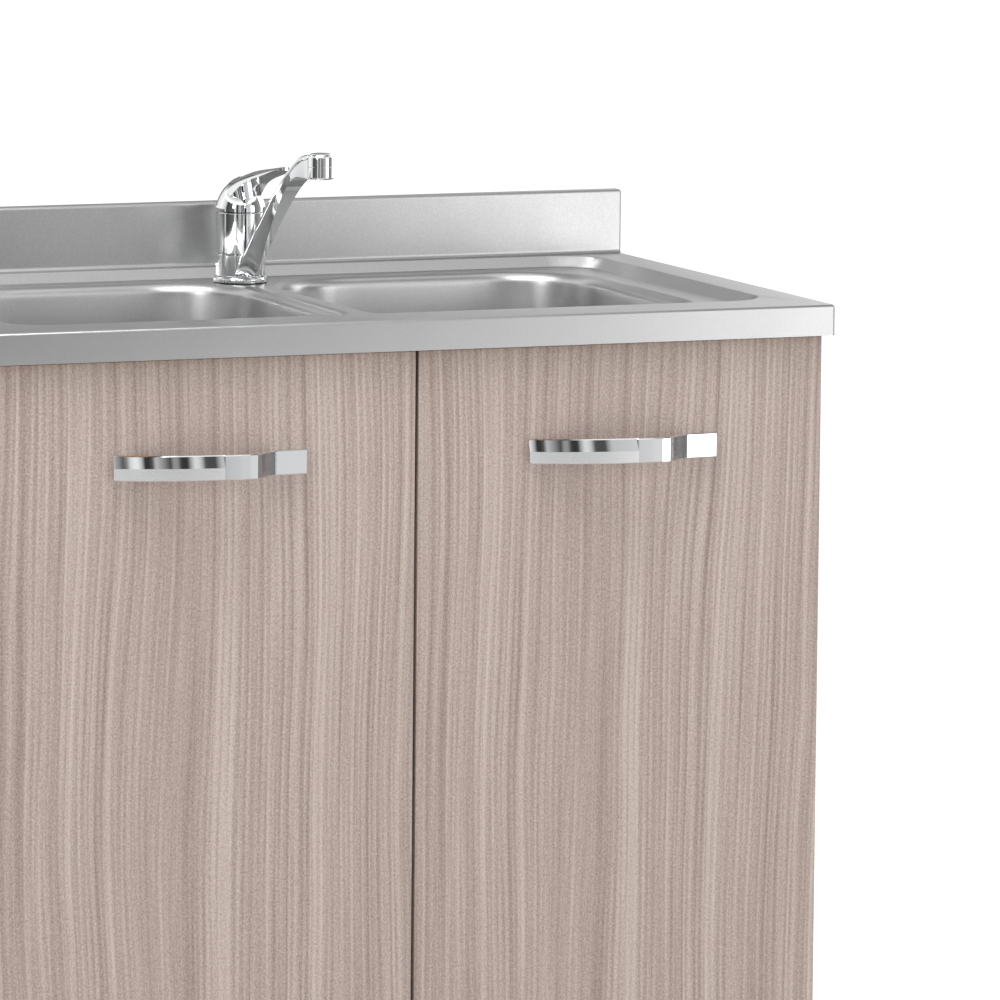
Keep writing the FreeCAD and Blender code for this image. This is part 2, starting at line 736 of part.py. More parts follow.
def mixer_fixing():
    """Stud with its nut, and the horseshoe plate that pulls the mixer down on the deck."""
    stud_y = f"{TAP_Y} + 10"
    plate_foot = f"{DECK} - gauge - 3"
    stud = cylinder("stud_radius - 0.05", "72", ("tap_offset", stud_y, f"{DECK} - 58"))
    nut = extruded_piece("XY_Plane", [
        ("7.5", "0"), ("3.75", "6.5"), ("-3.75", "6.5"), ("-7.5", "0"), ("-3.75", "-6.5"), ("3.75", "-6.5"),
    ], "12", ("tap_offset", stud_y, f"{plate_foot} - 12"))
    keep(fuse(stud, nut), "mixer_stud")
    plate = new_body("tap_offset", TAP_Y, plate_foot)
    pad(plate, circle(sketch_on(plate, "XY_Plane"), "base_radius - 2.7"), "3")
    way = outline(sketch_on(plate, "XY_Plane"), [
        ("-14.5", "-base_radius - 1"), ("14.5", "-base_radius - 1"), ("14.5", "-4", "5"), ("9.5", "1"),
        ("-9.5", "1", "5"), ("-14.5", "-4"),
    ])
    pocket(plate, way, "4", reverse=True)
    stud_hole = cylinder("stud_radius + 0.3", "8", ("tap_offset", stud_y, f"{DECK} - gauge - 5"))
    keep(cut(plate, stud_hole), "mixer_clamp_plate")


# ---- wastes and trap ----

def waste(name, side):
    """Strainer flange and cup, lift-out basket, and the plastic body under one bowl."""
    seat = (f"{side} * bowl_pitch / 2", BOWL_Y, WASTE_FLOOR)
    strainer = turned_piece([
        ("3.3", "-strainer_cup_depth"), ("strainer_cup_radius", "-strainer_cup_depth"),
        ("strainer_cup_radius", "0"), ("strainer_radius", "0"), ("strainer_radius - 1", "1.2"),
        ("strainer_cup_radius - 1.2", "1.2"), ("strainer_cup_radius - 1.2", "1.2 - strainer_cup_depth"),
        ("3.3", "1.2 - strainer_cup_depth"),
    ], *seat)
    drill_ring(strainer, 8, "26", "4", "strainer_cup_depth + 5")
    keep(strainer, f"{name}_strainer")
    basket = turned_piece([
        ("0", "-20.5"), ("27", "-20.5"), ("30", "-17.5"), ("30", "-5"), ("40", "1.5"), ("46", "1.5"),
        ("46", "2.5"), ("44", "3.4"), ("39.5", "3.4"), ("28.6", "-3.5"), ("28.6", "-17"),
        ("26.4", "-19.2"), ("3.5", "-19.2"),
        ("3.5", "3"), ("9", "6", "5"), ("5", "12"), ("0", "12"),
    ], *seat)
    drill_ring(basket, 10, "18", "2.4", "30")
    keep(basket, f"{name}_basket_plug")
    flange = "(-gauge - seal_ring)"
    body = turned_piece([
        ("strainer_cup_radius + 1", flange), ("strainer_cup_radius + 1", "-strainer_cup_depth - 10"),
        ("socket_bore_radius", "-strainer_cup_depth - 26"), ("socket_bore_radius", "-waste_body_depth"),
        ("socket_radius", "-waste_body_depth"), ("socket_radius", "-strainer_cup_depth - 27"),
        ("strainer_cup_radius + 4", "-strainer_cup_depth - 11"), ("strainer_cup_radius + 4", f"{flange} - 5"),
        ("strainer_radius", f"{flange} - 5"), ("strainer_radius", flange),
    ], *seat)
    bridge = box(("8", "2 * strainer_cup_radius + 5", "10"),
                 (f"{seat[0]} - 4", f"{BOWL_Y} - strainer_cup_radius - 2.5",
                  f"{WASTE_FLOOR} - strainer_cup_depth - 10"))
    shank_hole = cylinder("3", "20", (seat[0], BOWL_Y, f"{WASTE_FLOOR} - strainer_cup_depth - 12"))
    keep(cut(fuse(body, bridge), shank_hole), f"{name}_waste_body")


def drill_ring(body, count, ring, radius, depth, top="5"):
    """A ring of equal holes or flutes down from the top level of a turned piece."""
    hole = pocket(body, circle(sketch_on(body, "XY_Plane", top), radius, ring), f"{depth} + {top}")
    axis = [part for part in body.Origin.OriginFeatures if part.Role == "Z_Axis"][0]
    pattern = body.newObject("PartDesign::PolarPattern", "Ring")
    pattern.Originals = [hole]
    pattern.Axis = (axis, [""])
    pattern.Angle = 360
    pattern.Occurrences = count
    body.Tip = pattern
    doc.recompute()


def waste_small_parts():
    seals = []
    screws = []
    for side in (-1, 1):
        seat = (f"{side} * bowl_pitch / 2", BOWL_Y, WASTE_FLOOR)
        seals.append(turned_piece([
            ("waste_hole_radius + 1", "-gauge - seal_ring"), ("strainer_radius", "-gauge - seal_ring"),
            ("strainer_radius", "-gauge"), ("waste_hole_radius + 1", "-gauge"),
        ], *seat))
        screws.append(turned_piece([
            ("0", "-strainer_cup_depth - 12"), ("2.95", "-strainer_cup_depth - 12"),
            ("2.95", "1.2 - strainer_cup_depth"), ("6", "1.2 - strainer_cup_depth"),
            ("6", "2.4 - strainer_cup_depth", "6"), ("2", "3.8 - strainer_cup_depth"),
            ("0", "3.8 - strainer_cup_depth"),
        ], *seat))
    keep(group(*seals), "waste_seals")
    keep(group(*screws), "waste_screws")


def waste_elbow(name, side):
    """Pipe down from one waste, round a bend and in to the tee."""
    body = new_body(f"{side} * bowl_pitch / 2", BOWL_Y)
    head = f"({WASTE_FLOOR} - waste_body_depth + 15)"
    ring = sketch_on(body, "XY_Plane", head)
    circle(ring, "pipe_radius")
    circle(ring, "pipe_bore_radius")
    route = sketch_on(body, "XZ_Plane")
    top = Vector(0, number(head), 0)
    drop = Vector(0, number("pipe_level + pipe_bend"), 0)
    turn = Vector(number(f"-{side} * pipe_bend"), number("pipe_level"), 0)
    end = Vector(number(f"-{side} * (bowl_pitch / 2 - 26)"), number("pipe_level"), 0)
    route.addGeometry(Part.LineSegment(top, drop), False)
    route.addGeometry(arc_between(drop, turn, -side * number("pipe_bend")), False)
    route.addGeometry(Part.LineSegment(turn, end), False)
    arc_start, arc_end = (2, 1) if side > 0 else (1, 2)
    route.addConstraint(Sketcher.Constraint("Coincident", 0, 2, 1, arc_start))
    route.addConstraint(Sketcher.Constraint("Coincident", 1, arc_end, 2, 1))
    constrain(route, "head_u", "0", "DistanceX", -1, 1, 0, 1)
    constrain(route, "head_v", head, "DistanceY", -1, 1, 0, 1)
    constrain(route, "drop_u", "0", "DistanceX", -1, 1, 0, 2)
    constrain(route, "drop_v", "pipe_level + pipe_bend", "DistanceY", -1, 1, 0, 2)
    constrain(route, "turn_u", f"-{side} * pipe_bend", "DistanceX", -1, 1, 2, 1)
    constrain(route, "turn_v", "pipe_level", "DistanceY", -1, 1, 2, 1)
    constrain(route, "bend", "pipe_bend", "Radius", 1)
    constrain(route, "end_u", f"-{side} * (bowl_pitch / 2 - 26)", "DistanceX", -1, 1, 2, 2)
    constrain(route, "end_v", "pipe_level", "DistanceY", -1, 1, 2, 2)
    pipe = body.newObject("PartDesign::AdditivePipe", "Pipe")
    pipe.Profile = ring
    pipe.Spine = route
    doc.recompute()
    keep(body, f"{name}_waste_elbow")


def drain_tee():
    across = cylinder("socket_radius", "92", ("-46", BOWL_Y, "pipe_level"), TOWARDS_RIGHT)
    down = cylinder("socket_radius", "40", ("0", BOWL_Y, "pipe_level - 40"))
    bore_across = cylinder("socket_bore_radius", "94", ("-47", BOWL_Y, "pipe_level"), TOWARDS_RIGHT)
    bore_down = cylinder("socket_bore_radius", "42", ("0", BOWL_Y, "pipe_level - 42"))
    keep(cut(fuse(across, down), bore_across, bore_down), "drain_tee")


def trap():
    """Bottle trap: head with dip tube and side socket, screw-off cup, pipe to the wall."""
    at = ("0", BOWL_Y, "trap_level")
    head = turned_piece([
        ("pipe_bore_radius", "-60"), ("pipe_radius", "-60"), ("pipe_radius", "29"),
        ("trap_radius - 3", "29"), ("trap_radius - 3", "-34"), ("trap_radius", "-34"),
        ("trap_radius", "30", "2"), ("trap_radius - 2", "32"), ("pipe_radius", "32"),
        ("pipe_radius", "60"), ("pipe_bore_radius", "60"),
    ], *at)
    socket = cylinder("socket_radius", "66", ("0", BOWL_Y, "trap_level"), TOWARDS_BACK)
    bore = cylinder("socket_bore_radius", "80", ("0", f"{BOWL_Y} + pipe_radius + 3", "trap_level"),
                    TOWARDS_BACK)
    core = cylinder("trap_radius - 3", "40", ("0", BOWL_Y, "trap_level - 25"))
    keep(cut(fuse(head, cut(socket, core)), bore), "trap_head")
    keep(turned_piece([
        ("0", "-100"), ("20", "-100", "20"), ("trap_radius", "-82"), ("trap_radius", "-36"),
        ("trap_radius + 4", "-35"), ("trap_radius + 4", "-25"), ("trap_radius + 0.1", "-25"),
        ("trap_radius + 0.1", "-34.5"), ("trap_radius - 2.5", "-34.5"), ("trap_radius - 2.5", "-80", "-18"),
        ("19", "-97.4"), ("0", "-97.4"),
    ], *at), "trap_cup")
    pipe = cylinder("pipe_radius", f"outlet_end - ({BOWL_Y} + 45)", ("0", f"{BOWL_Y} + 45", "trap_level"),
                    TOWARDS_BACK)
    hollow = cylinder("pipe_bore_radius", "outlet_end", ("0", f"{BOWL_Y} + 40", "trap_level"), TOWARDS_BACK)
    # a shallow groove marks how far the pipe goes into the wall's socket
    mark_y = "outlet_end - insertion_depth - 1.5"
    mark = cut(cylinder("pipe_radius + 1", "1.5", ("0", mark_y, "trap_level"), TOWARDS_BACK),
               cylinder("pipe_radius - 0.5", "4", ("0", f"{mark_y} - 1", "trap_level"), TOWARDS_BACK))
    keep(cut(pipe, hollow, mark), "outlet_pipe")


def union_nut(x, y, z, tilt=None):
    """Ribbed ring that closes a pipe socket: a sleeve with an inward collar."""
    body = new_body(x, y, z)
    revolve(body, outline(sketch_on(body, "XZ_Plane"), [
        ("pipe_radius + 0.2", "-4"), ("socket_radius + 5", "-4"), ("socket_radius + 5", "14"),
        ("socket_radius + 0.1", "14"), ("socket_radius + 0.1", "0"), ("pipe_radius + 0.2", "0"),
    ]))
    drill_ring(body, 12, "socket_radius + 6.6", "3", "5", top="15")
    if tilt:
        body.Placement = FreeCAD.Placement(body.Placement.Base, Rotation(Vector(*tilt[0]), tilt[1]))
    return body


def union_nuts():
    nuts = [union_nut(f"{side} * bowl_pitch / 2", BOWL_Y, f"{WASTE_FLOOR} - waste_body_depth")
            for side in (-1, 1)]
    nuts.append(union_nut("0", BOWL_Y, "pipe_level - 40"))
    nuts.append(union_nut("0", f"{BOWL_Y} + 66", "trap_level", ((1, 0, 0), 90)))
    nuts += [union_nut(f"{side} * 46", BOWL_Y, "pipe_level", ((0, 1, 0), -side * 90)) for side in (-1, 1)]
    keep(group(*nuts), "union_nuts")


# ---- cabinet ----

def carcass():
    height = "carcass_top - carcass_bottom"
    side_size = ("board", "carcass_depth", height)
    keep(box(side_size, ("-carcass_width / 2", CARCASS_FRONT, "carcass_bottom")), "left_side_board")
    keep(box(side_size, (INNER_FACE, CARCASS_FRONT, "carcass_bottom")), "right_side_board")
    inside = f"2 * {INNER_FACE}"
    left = f"-{INNER_FACE}"
    keep(box((inside, "carcass_depth", "board"), (left, CARCASS_FRONT, "carcass_bottom")), "bottom_board")
    keep(box((inside, "board", "front_rail_height"),
             (left, CARCASS_FRONT, "carcass_top - front_rail_height")), "front_rail")
    rail = (inside, "board", "rail_height")
    rear = f"{CARCASS_BACK} - board"
    keep(box(rail, (left, rear, "carcass_top - rail_height")), "rear_top_rail")
    keep(box(rail, (left, rear, "carcass_bottom + board")), "rear_bottom_rail")


LEG_X = "(carcass_width / 2 - leg_from_side)"
LEG_FRONT_Y = f"({CARCASS_FRONT} + leg_from_front)"
LEG_BACK_Y = f"({CARCASS_BACK} - leg_from_back)"


def feet():
    sockets = []
    legs = []
    for depth, y in (("front", LEG_FRONT_Y), ("rear", LEG_BACK_Y)):
        for side, sign in (("left", -1), ("right", 1)):
            x = f"{sign} * {LEG_X}"
            flange = box(("64", "64", "4"), (f"{x} - 32", f"{y} - 32", "carcass_bottom - 4"))
            ring = cylinder("leg_radius + 3", "16", (x, y, "carcass_bottom - 20"))
            bore = cylinder("leg_radius + pin_clearance", "30", (x, y, "carcass_bottom - 30.5"))
            sockets.append(cut(fuse(flange, ring), bore))
            legs.append(turned_piece([
                ("spindle_radius + pin_clearance", "16"), ("leg_radius - 2", "16"), ("leg_radius", "18"),
                ("leg_radius", "carcass_bottom - 4.5"), ("0", "carcass_bottom - 4.5"), ("0", "70"),
                ("spindle_radius + pin_clearance", "70"),
            ], x, y))
            foot = turned_piece([
                ("0", "0"), ("foot_radius - 1", "0"), ("foot_radius", "1"), ("foot_radius", "5"),
                ("10", "11"), ("spindle_radius", "11"), ("spindle_radius", "60"), ("0", "60"),
            ], x, y)
            keep(foot, f"{depth}_{side}_foot")
    keep(group(*sockets), "leg_sockets")
    keep(group(*legs), "leg_tubes")


def plinth():
    face = f"({CARCASS_FRONT} + plinth_set_back)"
    keep(box(("carcass_width - 2", "board", "plinth_height"), ("1 - carcass_width / 2", face, "4")),
         "plinth_board")
    clips = []
    for side in (-1, 1):
        x = f"{side} * {LEG_X}"
        block = box(("24", f"{LEG_FRONT_Y} - {face} - board", "20"), (f"{x} - 12", f"{face} + board", "45"))
        ring = cylinder("leg_radius + 3", "20", (x, LEG_FRONT_Y, "45"))
        grip = cylinder("leg_radius + pin_clearance", "22", (x, LEG_FRONT_Y, "44"))
        mouth = box(("22", "20", "22"), (f"{x} - 11", f"{LEG_FRONT_Y} + 8", "44"))
        clips.append(cut(fuse(block, ring), grip, mouth))
    keep(group(*clips), "plinth_clips")


# ---- doors, handles and hinges ----

DOOR_WIDTH = "(carcass_width / 2 - door_reveal - door_gap / 2)"
DOOR_MIDDLE = f"(door_gap / 2 + {DOOR_WIDTH} / 2)"
HANDLE_Z = "(door_top - handle_below_top)"
CUP_X = "(carcass_width / 2 - door_reveal - cup_from_edge)"
HINGE_LEVELS = ("(door_bottom + hinge_end_gap)", "(door_top - hinge_end_gap)")


def door(name, side):
    left = "door_gap / 2" if side > 0 else f"-door_gap / 2 - {DOOR_WIDTH}"
    body = new_body(left, DOOR_REAR, "door_bottom")
    pad(body, outline(sketch_on(body, "XZ_Plane"), [
        ("0", "0"), (DOOR_WIDTH, "0"), (DOOR_WIDTH, "door_top - door_bottom"), ("0", "door_top - door_bottom"),
    ]), "door_thickness")
    front = -number("door_thickness")
    soften(body, lambda edge, spot: near(edge.BoundBox.YMin, front) and near(edge.BoundBox.YMax, front),
           "door_edge_round")
    bores = sketch_on(body, "XZ_Plane")
    for level in HINGE_LEVELS:
        circle(bores, "cup_bore_radius", f"{side} * {CUP_X} - ({left})", f"{level} - door_bottom")
    pocket(body, bores, "cup_depth + 0.5", reverse=True)
    holes = sketch_on(body, "XZ_Plane")
    for end in (-1, 1):
        circle(holes, "2.3", f"{DOOR_WIDTH} / 2 + {end} * handle_screw_pitch / 2", f"{HANDLE_Z} - door_bottom")
    pocket(body, holes, "door_thickness + 1", reverse=True)
    keep(body, f"{name}_door")


def handle(name, side):
    """Bow that swells to the right of its middle and ends in a flat pad; same on both doors."""
    body = new_body(f"{side} * {DOOR_MIDDLE} - handle_length / 2", DOOR_FRONT, f"{HANDLE_Z} - handle_height / 2")
    # plan outline: along the door from the left end, and out from the door's face
    pad(body, outline(sketch_on(body, "XY_Plane"), [
        ("0", "0"), ("0", "-bow_foot", "bow_round"), ("handle_length * 0.6", "-handle_reach"),
        ("handle_length * 0.69", "0.9 - handle_reach", "75"), ("handle_length * 0.76", "-20", "-60"),
        ("handle_length * 0.82", "-12"), ("handle_length - 3", "-9.5", "3.2"), ("handle_length", "-6"),
        ("handle_length", "0"), ("handle_length * 0.81", "0"), ("handle_length * 0.81", "-3.5"),
        ("handle_length * 0.71", "-14", "60"), ("handle_length * 0.63", "7 - handle_reach", "-70"),
        ("handle_length * 0.52", "6.6 - handle_reach"), ("0.135 * handle_length", "-5.5", "-230"),
        ("0.12 * handle_length", "0"),
    ]), "handle_height")
    # the upper half of the long rise leans back and stops short before the crest
    bow = arc_between(Vector(0, -number("bow_foot"), 0),
                      Vector(number("handle_length * 0.6"), -number("handle_reach"), 0), number("bow_round"))
    leaning = []
    for share in (-0.01, 0.13, 0.26, 0.39, 0.52):
        along = f"handle_length * {share}"
        face = bow.Center.y - math.sqrt(bow.Radius ** 2 - (number(along) - bow.Center.x) ** 2)
        leaning.append(outline(sketch_on(body, "YZ_Plane", along), [
            (f"{face:.3f} - 2", "handle_height / 2"), (f"{face:.3f}", "handle_height / 2"),
            (f"{face:.3f} + 1.1 * handle_lean", "handle_height * 1.05"), (f"{face:.3f} - 2", "handle_height * 1.05"),
        ]))
    loft(body, leaning, "SubtractiveLoft")
    holes = sketch_on(body, "XZ_Plane")
    for end in (-1, 1):
        circle(holes, "1.95", f"handle_length / 2 + {end} * handle_screw_pitch / 2", "handle_height / 2")
    pocket(body, holes, "5", reverse=True)
    keep(body, f"{name}_handle")
    screws = []
    for end in (-1, 1):
        at = (f"{side} * {DOOR_MIDDLE} + {end} * handle_screw_pitch / 2", f"{DOOR_REAR} - door_thickness - 4.5",
              HANDLE_Z)
        shank = cylinder("1.9", "door_thickness + 5", at, TOWARDS_BACK)
        head = cylinder("4", "2.2", (at[0], DOOR_REAR, at[2]), TOWARDS_BACK)
        screws.append(fuse(shank, head))
    keep(group(*screws), f"{name}_handle_screws")


def hinge_spot(side, inward, forward):
    """Sheet place of a point given from the side board's inner front corner."""
    return f"{side} * ({INNER_FACE} - ({inward}))", f"{CARCASS_FRONT} - ({forward})"


def strap(points, half):
    """Outline of a bent strip of that half width along three or more points."""
    spots = [Vector(number(u), number(v), 0) for u, v in points]
    offsets = []
    for index in range(len(spots)):
        before = spots[index] - spots[max(index - 1, 0)]
        after = spots[min(index + 1, len(spots) - 1)] - spots[index]
        lines = [line.normalize() for line in (before, after) if line.Length > 0]
        along = sum(lines[1:], lines[0]).normalize()
        spread = 1 / max(along.dot(lines[0]), 0.5)
        offsets.append((-along.y * spread, along.x * spread))
    there = [(f"{u} + {half} * {x:.4f}", f"{v} + {half} * {y:.4f}")
             for (u, v), (x, y) in zip(points, offsets)]
    back = [(f"{u} - {half} * {x:.4f}", f"{v} - {half} * {y:.4f}")
            for (u, v), (x, y) in zip(points, offsets)]
    return there + back[::-1]


def hinge_cup(side, level):
    """Pressed cup with two screw wings; its cross pin carries the link."""
    x = f"{side} * {CUP_X}"
    shell = cylinder("cup_radius", "cup_depth", (x, f"{DOOR_REAR} - cup_depth", level), TOWARDS_BACK)
    wings = box(("20", "1", "62"), (f"{x} - 10 - {side} * 5", DOOR_REAR, f"{level} - 31"))
    hollow = cylinder("cup_radius - 1.2", "cup_depth + 2", (x, f"{DOOR_REAR} - cup_depth + 1", level),
                      TOWARDS_BACK)
    pin_u, pin_v = hinge_spot(side, "-door_pivot_out", "door_pivot_front")
    pin = cylinder("pin_radius", "18.8", (pin_u, pin_v, f"{level} - 9.4"))
    return fuse(cut(fuse(shell, wings), hollow), pin)


def hinge_link(side, level):
    """Goose-necked link from the arm's pin round the board's corner to the cup's pin."""
    root = hinge_spot(side, "link_pivot_in", "-link_pivot_back")
    knee = hinge_spot(side, "link_knee_in", "link_knee_front")
    tip = hinge_spot(side, "-door_pivot_out", "door_pivot_front")
    body = new_body("0", "0", level)
    pad(body, outline(sketch_on(body, "XY_Plane"), strap([root, knee, tip], "link_half")), "link_width",
        both=True)
    eyes = [cylinder(radius, "link_width", (*spot, f"{level} - link_width / 2"))
            for radius, spot in (("3.2", root), ("2.5", tip))]
    bores = [cylinder("pin_radius + pin_clearance", "2 * link_width", (*spot, f"{level} - link_width"))
             for spot in (root, tip)]
    return cut(fuse(body, *eyes), *bores)


def hinge_arm(side, level):
    """Arm with two ears and the root pin, on a mounting plate screwed to the side board."""
    points = [(4, -62), (4, -24), (19, -13), (20.5, -2), (27.5, -2), (27.5, -16), (17, -30), (17, -62)]
    body = new_body("0", "0", level)
    shape = outline(sketch_on(body, "XY_Plane"), [hinge_spot(side, inward, forward) for inward, forward in points])
    pad(body, shape, "link_width + 6", both=True)
    slot = outline(sketch_on(body, "XY_Plane"), [
        hinge_spot(side, inward, forward) for inward, forward in ((0, 1), (30, 1), (30, -15), (0, -15))])
    pocket(body, slot, "link_width + 0.6", both=True)
    plate = new_body("0", "0", level)
    pad(plate, outline(sketch_on(plate, "XY_Plane"), [
        hinge_spot(side, inward, forward) for inward, forward in ((0, -22), (4, -22), (4, -54), (0, -54))]),
        "48", both=True)
    pin_u, pin_v = hinge_spot(side, "link_pivot_in", "-link_pivot_back")
    pin = cylinder("pin_radius", "link_width + 6", (pin_u, pin_v, f"{level} - link_width / 2 - 3"))
    return fuse(body, plate, pin)


def hinges(name, side):
    keep(group(*[hinge_cup(side, level) for level in HINGE_LEVELS]), f"{name}_hinge_cups")
    keep(group(*[hinge_link(side, level) for level in HINGE_LEVELS]), f"{name}_hinge_links")
    keep(group(*[hinge_arm(side, level) for level in HINGE_LEVELS]), f"{name}_hinge_arms")


sink_deck()
bowl("left_bowl", "-bowl_pitch / 2")
bowl("right_bowl", "bowl_pitch / 2")
packing_frame()
fixing_brackets()
mixer_column()
swivel_spout()
aerator()
cartridge()
lever()
mixer_fixing()
waste_small_parts()
drain_tee()
trap()
union_nuts()
carcass()
feet()
plinth()
for name, side in (("left", -1), ("right", 1)):
    waste(name, side)
    waste_elbow(name, side)
    door(name, side)
    handle(name, side)
    hinges(name, side)

# ---- check and write ----

doc.recompute()
os.makedirs("parts", exist_ok=True)
for feature in doc.Objects:
    if "Invalid" in feature.State or "Error" in feature.State:
        raise RuntimeError(f"{feature.Label} has state {feature.State}")
for feature in kept:
    if feature.Shape.isNull() or not feature.Shape.isValid():
        raise RuntimeError(f"{feature.Label} has no sound shape")
for feature in kept:
    feature.Shape.exportStep(f"parts/{feature.Label}.step")
    box_of = feature.Shape.BoundBox
    print(f"{feature.Label}: {len(feature.Shape.Solids)} solids, "
          f"{feature.Shape.Volume / 1000:.1f} cm3, z {box_of.ZMin:.1f} to {box_of.ZMax:.1f}")
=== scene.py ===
import json
import math
import bpy
import bmesh
import numpy as np
from mathutils import Matrix, Vector

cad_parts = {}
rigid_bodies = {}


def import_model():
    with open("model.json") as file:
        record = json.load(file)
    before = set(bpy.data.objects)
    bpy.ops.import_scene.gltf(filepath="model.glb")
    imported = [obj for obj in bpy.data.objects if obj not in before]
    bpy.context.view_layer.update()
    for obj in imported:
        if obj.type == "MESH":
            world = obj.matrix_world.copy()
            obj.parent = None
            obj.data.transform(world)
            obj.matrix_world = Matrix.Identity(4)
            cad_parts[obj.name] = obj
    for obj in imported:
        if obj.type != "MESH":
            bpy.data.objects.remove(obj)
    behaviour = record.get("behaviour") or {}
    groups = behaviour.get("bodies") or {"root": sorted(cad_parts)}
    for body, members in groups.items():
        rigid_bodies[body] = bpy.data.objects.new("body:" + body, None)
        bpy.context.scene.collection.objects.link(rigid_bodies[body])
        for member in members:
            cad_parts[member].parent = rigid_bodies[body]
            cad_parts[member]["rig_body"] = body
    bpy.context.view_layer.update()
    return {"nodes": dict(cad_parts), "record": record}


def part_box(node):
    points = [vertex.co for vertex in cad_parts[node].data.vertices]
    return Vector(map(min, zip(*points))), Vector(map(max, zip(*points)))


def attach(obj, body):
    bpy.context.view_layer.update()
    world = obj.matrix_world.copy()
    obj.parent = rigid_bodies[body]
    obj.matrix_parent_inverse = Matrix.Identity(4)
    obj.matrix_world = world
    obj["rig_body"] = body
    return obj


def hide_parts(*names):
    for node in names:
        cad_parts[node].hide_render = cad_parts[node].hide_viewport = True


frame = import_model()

nodes = frame["nodes"]
bodyOf = {name: node["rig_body"] for name, node in nodes.items()}
slotOf = {part["node"]: part["material_slot"] for part in frame["record"]["subparts"]}
mm = 0.001
white = (1, 1, 1, 1)


def linear(hexColour):
    # sRGB hex to the linear values that shader sockets take
    parts = [int(hexColour[i:i + 2], 16) / 255 for i in (1, 3, 5)]
    return tuple(p / 12.92 if p <= 0.04045 else ((p + 0.055) / 1.055) ** 2.4 for p in parts) + (1.0,)


def addNode(tree, kind, sockets=None, stops=(), **settings):
    # One node with its settings: a socket given another node's output is linked, anything else is set.
    # Stops are a colour ramp's (place, sRGB hex or grey from 0 to 1).
    node = tree.nodes.new(kind)
    for key, value in settings.items():
        setattr(node, key, value)
    for key, value in (sockets or {}).items():
        if isinstance(value, bpy.types.NodeSocket):
            tree.links.new(value, node.inputs[key])
        else:
            node.inputs[key].default_value = value
    if stops:
        elements = node.color_ramp.elements
        while len(elements) < len(stops):
            elements.new(0.5)
        for element, (place, shade) in zip(elements, stops):
            element.position = place
            element.color = linear(shade) if isinstance(shade, str) else (shade, shade, shade, 1)
    return node


def newMaterial(name):
    material = bpy.data.materials.new(name)
    material.use_nodes = True
    tree = material.node_tree
    tree.nodes.clear()
    return material, tree


def newObject(name, data):
    thing = bpy.data.objects.new(name, data)
    bpy.context.scene.collection.objects.link(thing)
    return thing


def tubeFaces(rows, columns):
    # four-sided faces of a grid that closes round its columns: point (row, column) is number row * columns + column
    row, column = np.meshgrid(np.arange(rows - 1) * columns, np.arange(columns), indexing="ij")
    after = row + (column + 1) % columns
    return np.stack([row + column, after, after + columns, row + column + columns], -1).reshape(-1, 4)


# camera, light and stage come first

view = {
    "place": (-3.2057, -8.0893, 1.7640),    # from the photograph's straight edges, set on this model
    "yaw": 22.685, "pitch": 7.224, "roll": 0.534,    # degrees: to the right, down, clockwise
    "frame": 36, "lens": 9.6391,    # the frame's width in millimetres, and the focal length in frame widths
}


def lookDirections(yaw, pitch, roll):
    # right, up and forward vectors of a camera that looks along +Y before it is turned
    yaw, pitch, roll = (math.radians(a) for a in (yaw, pitch, roll))
    forward = Vector((math.sin(yaw) * math.cos(pitch), math.cos(yaw) * math.cos(pitch), -math.sin(pitch)))
    right = Vector((math.cos(yaw), -math.sin(yaw), 0))
    up = right.cross(forward)
    return math.cos(roll) * right + math.sin(roll) * up, math.cos(roll) * up - math.sin(roll) * right, forward


def makeCamera():
    right, up, forward = lookDirections(view["yaw"], view["pitch"], view["roll"])
    data = bpy.data.cameras.new("viewCamera")
    data.sensor_width = view["frame"]
    data.lens = view["lens"] * view["frame"]
    data.clip_end = 100
    camera = newObject("viewCamera", data)
    turn = Matrix((right, up, -forward)).transposed().to_4x4()
    camera.matrix_world = Matrix.Translation(view["place"]) @ turn
    bpy.context.scene.camera = camera


studio = {
    "fill": 0.72,    # light from all round on dull surfaces
    "skyGlow": 2.0,    # above the cards, brightness against height: 0.5 is level, 1 is straight up
    "sky": [(0.50, 0.15), (0.62, 0.18), (0.70, 0.62), (0.77, 0.62), (0.81, 0.40), (0.87, 0.20), (0.94, 0.10),
            (0.96, 0.5), (1.0, 0.5)],
    "lamps": [
        # name, place, aimed at, width, height, watts
        ("softboxRight", (1.7, -2.0, 1.0), (0.2, 0, 0.7), 0.9, 1.8, 9),
        ("softboxAbove", (-0.6, -0.6, 2.6), (0, 0, 0.8), 1.6, 1.0, 33),
        ("softboxLeft", (-2.4, -1.6, 1.6), (0, 0, 0.6), 0.6, 1.6, 13),
    ],
    "floor": 30.0,    # metres each way
    "paper": "#F4F4F3", "paperGlow": 0.45,
}
cards = {
    "radius": 3.0, "height": 2.5,    # metres; the ring of reflecting cards stands around the unit
    "steps": 96, "glow": 2.6,
    # Brightness against the angle round the ring: 0 is behind the unit, 0.25 its left, 0.5 in front, 0.75 its
    # right. A ramp holds 32 stops.
    "ring": [(0.0, 0.02), (0.06, 0.36), (0.15, 0.42), (0.225, 0.25), (0.24, 0.02), (0.35, 0.06),
             (0.356, 0.30), (0.376, 0.30), (0.382, 0.01), (0.402, 0.01), (0.405, 0.24), (0.420, 0.01),
             (0.427, 0.34), (0.436, 0.34), (0.440, 0.01), (0.449, 0.02), (0.452, 0.22), (0.470, 0.01),
             (0.474, 0.18), (0.481, 0.01), (0.490, 0.02), (0.494, 0.30), (0.502, 0.28), (0.508, 0.03),
             (0.520, 0.03), (0.526, 0.22), (0.605, 0.32), (0.61, 0.04), (0.75, 0.14), (0.76, 1.0),
             (0.86, 0.70), (0.94, 0.10)],
}


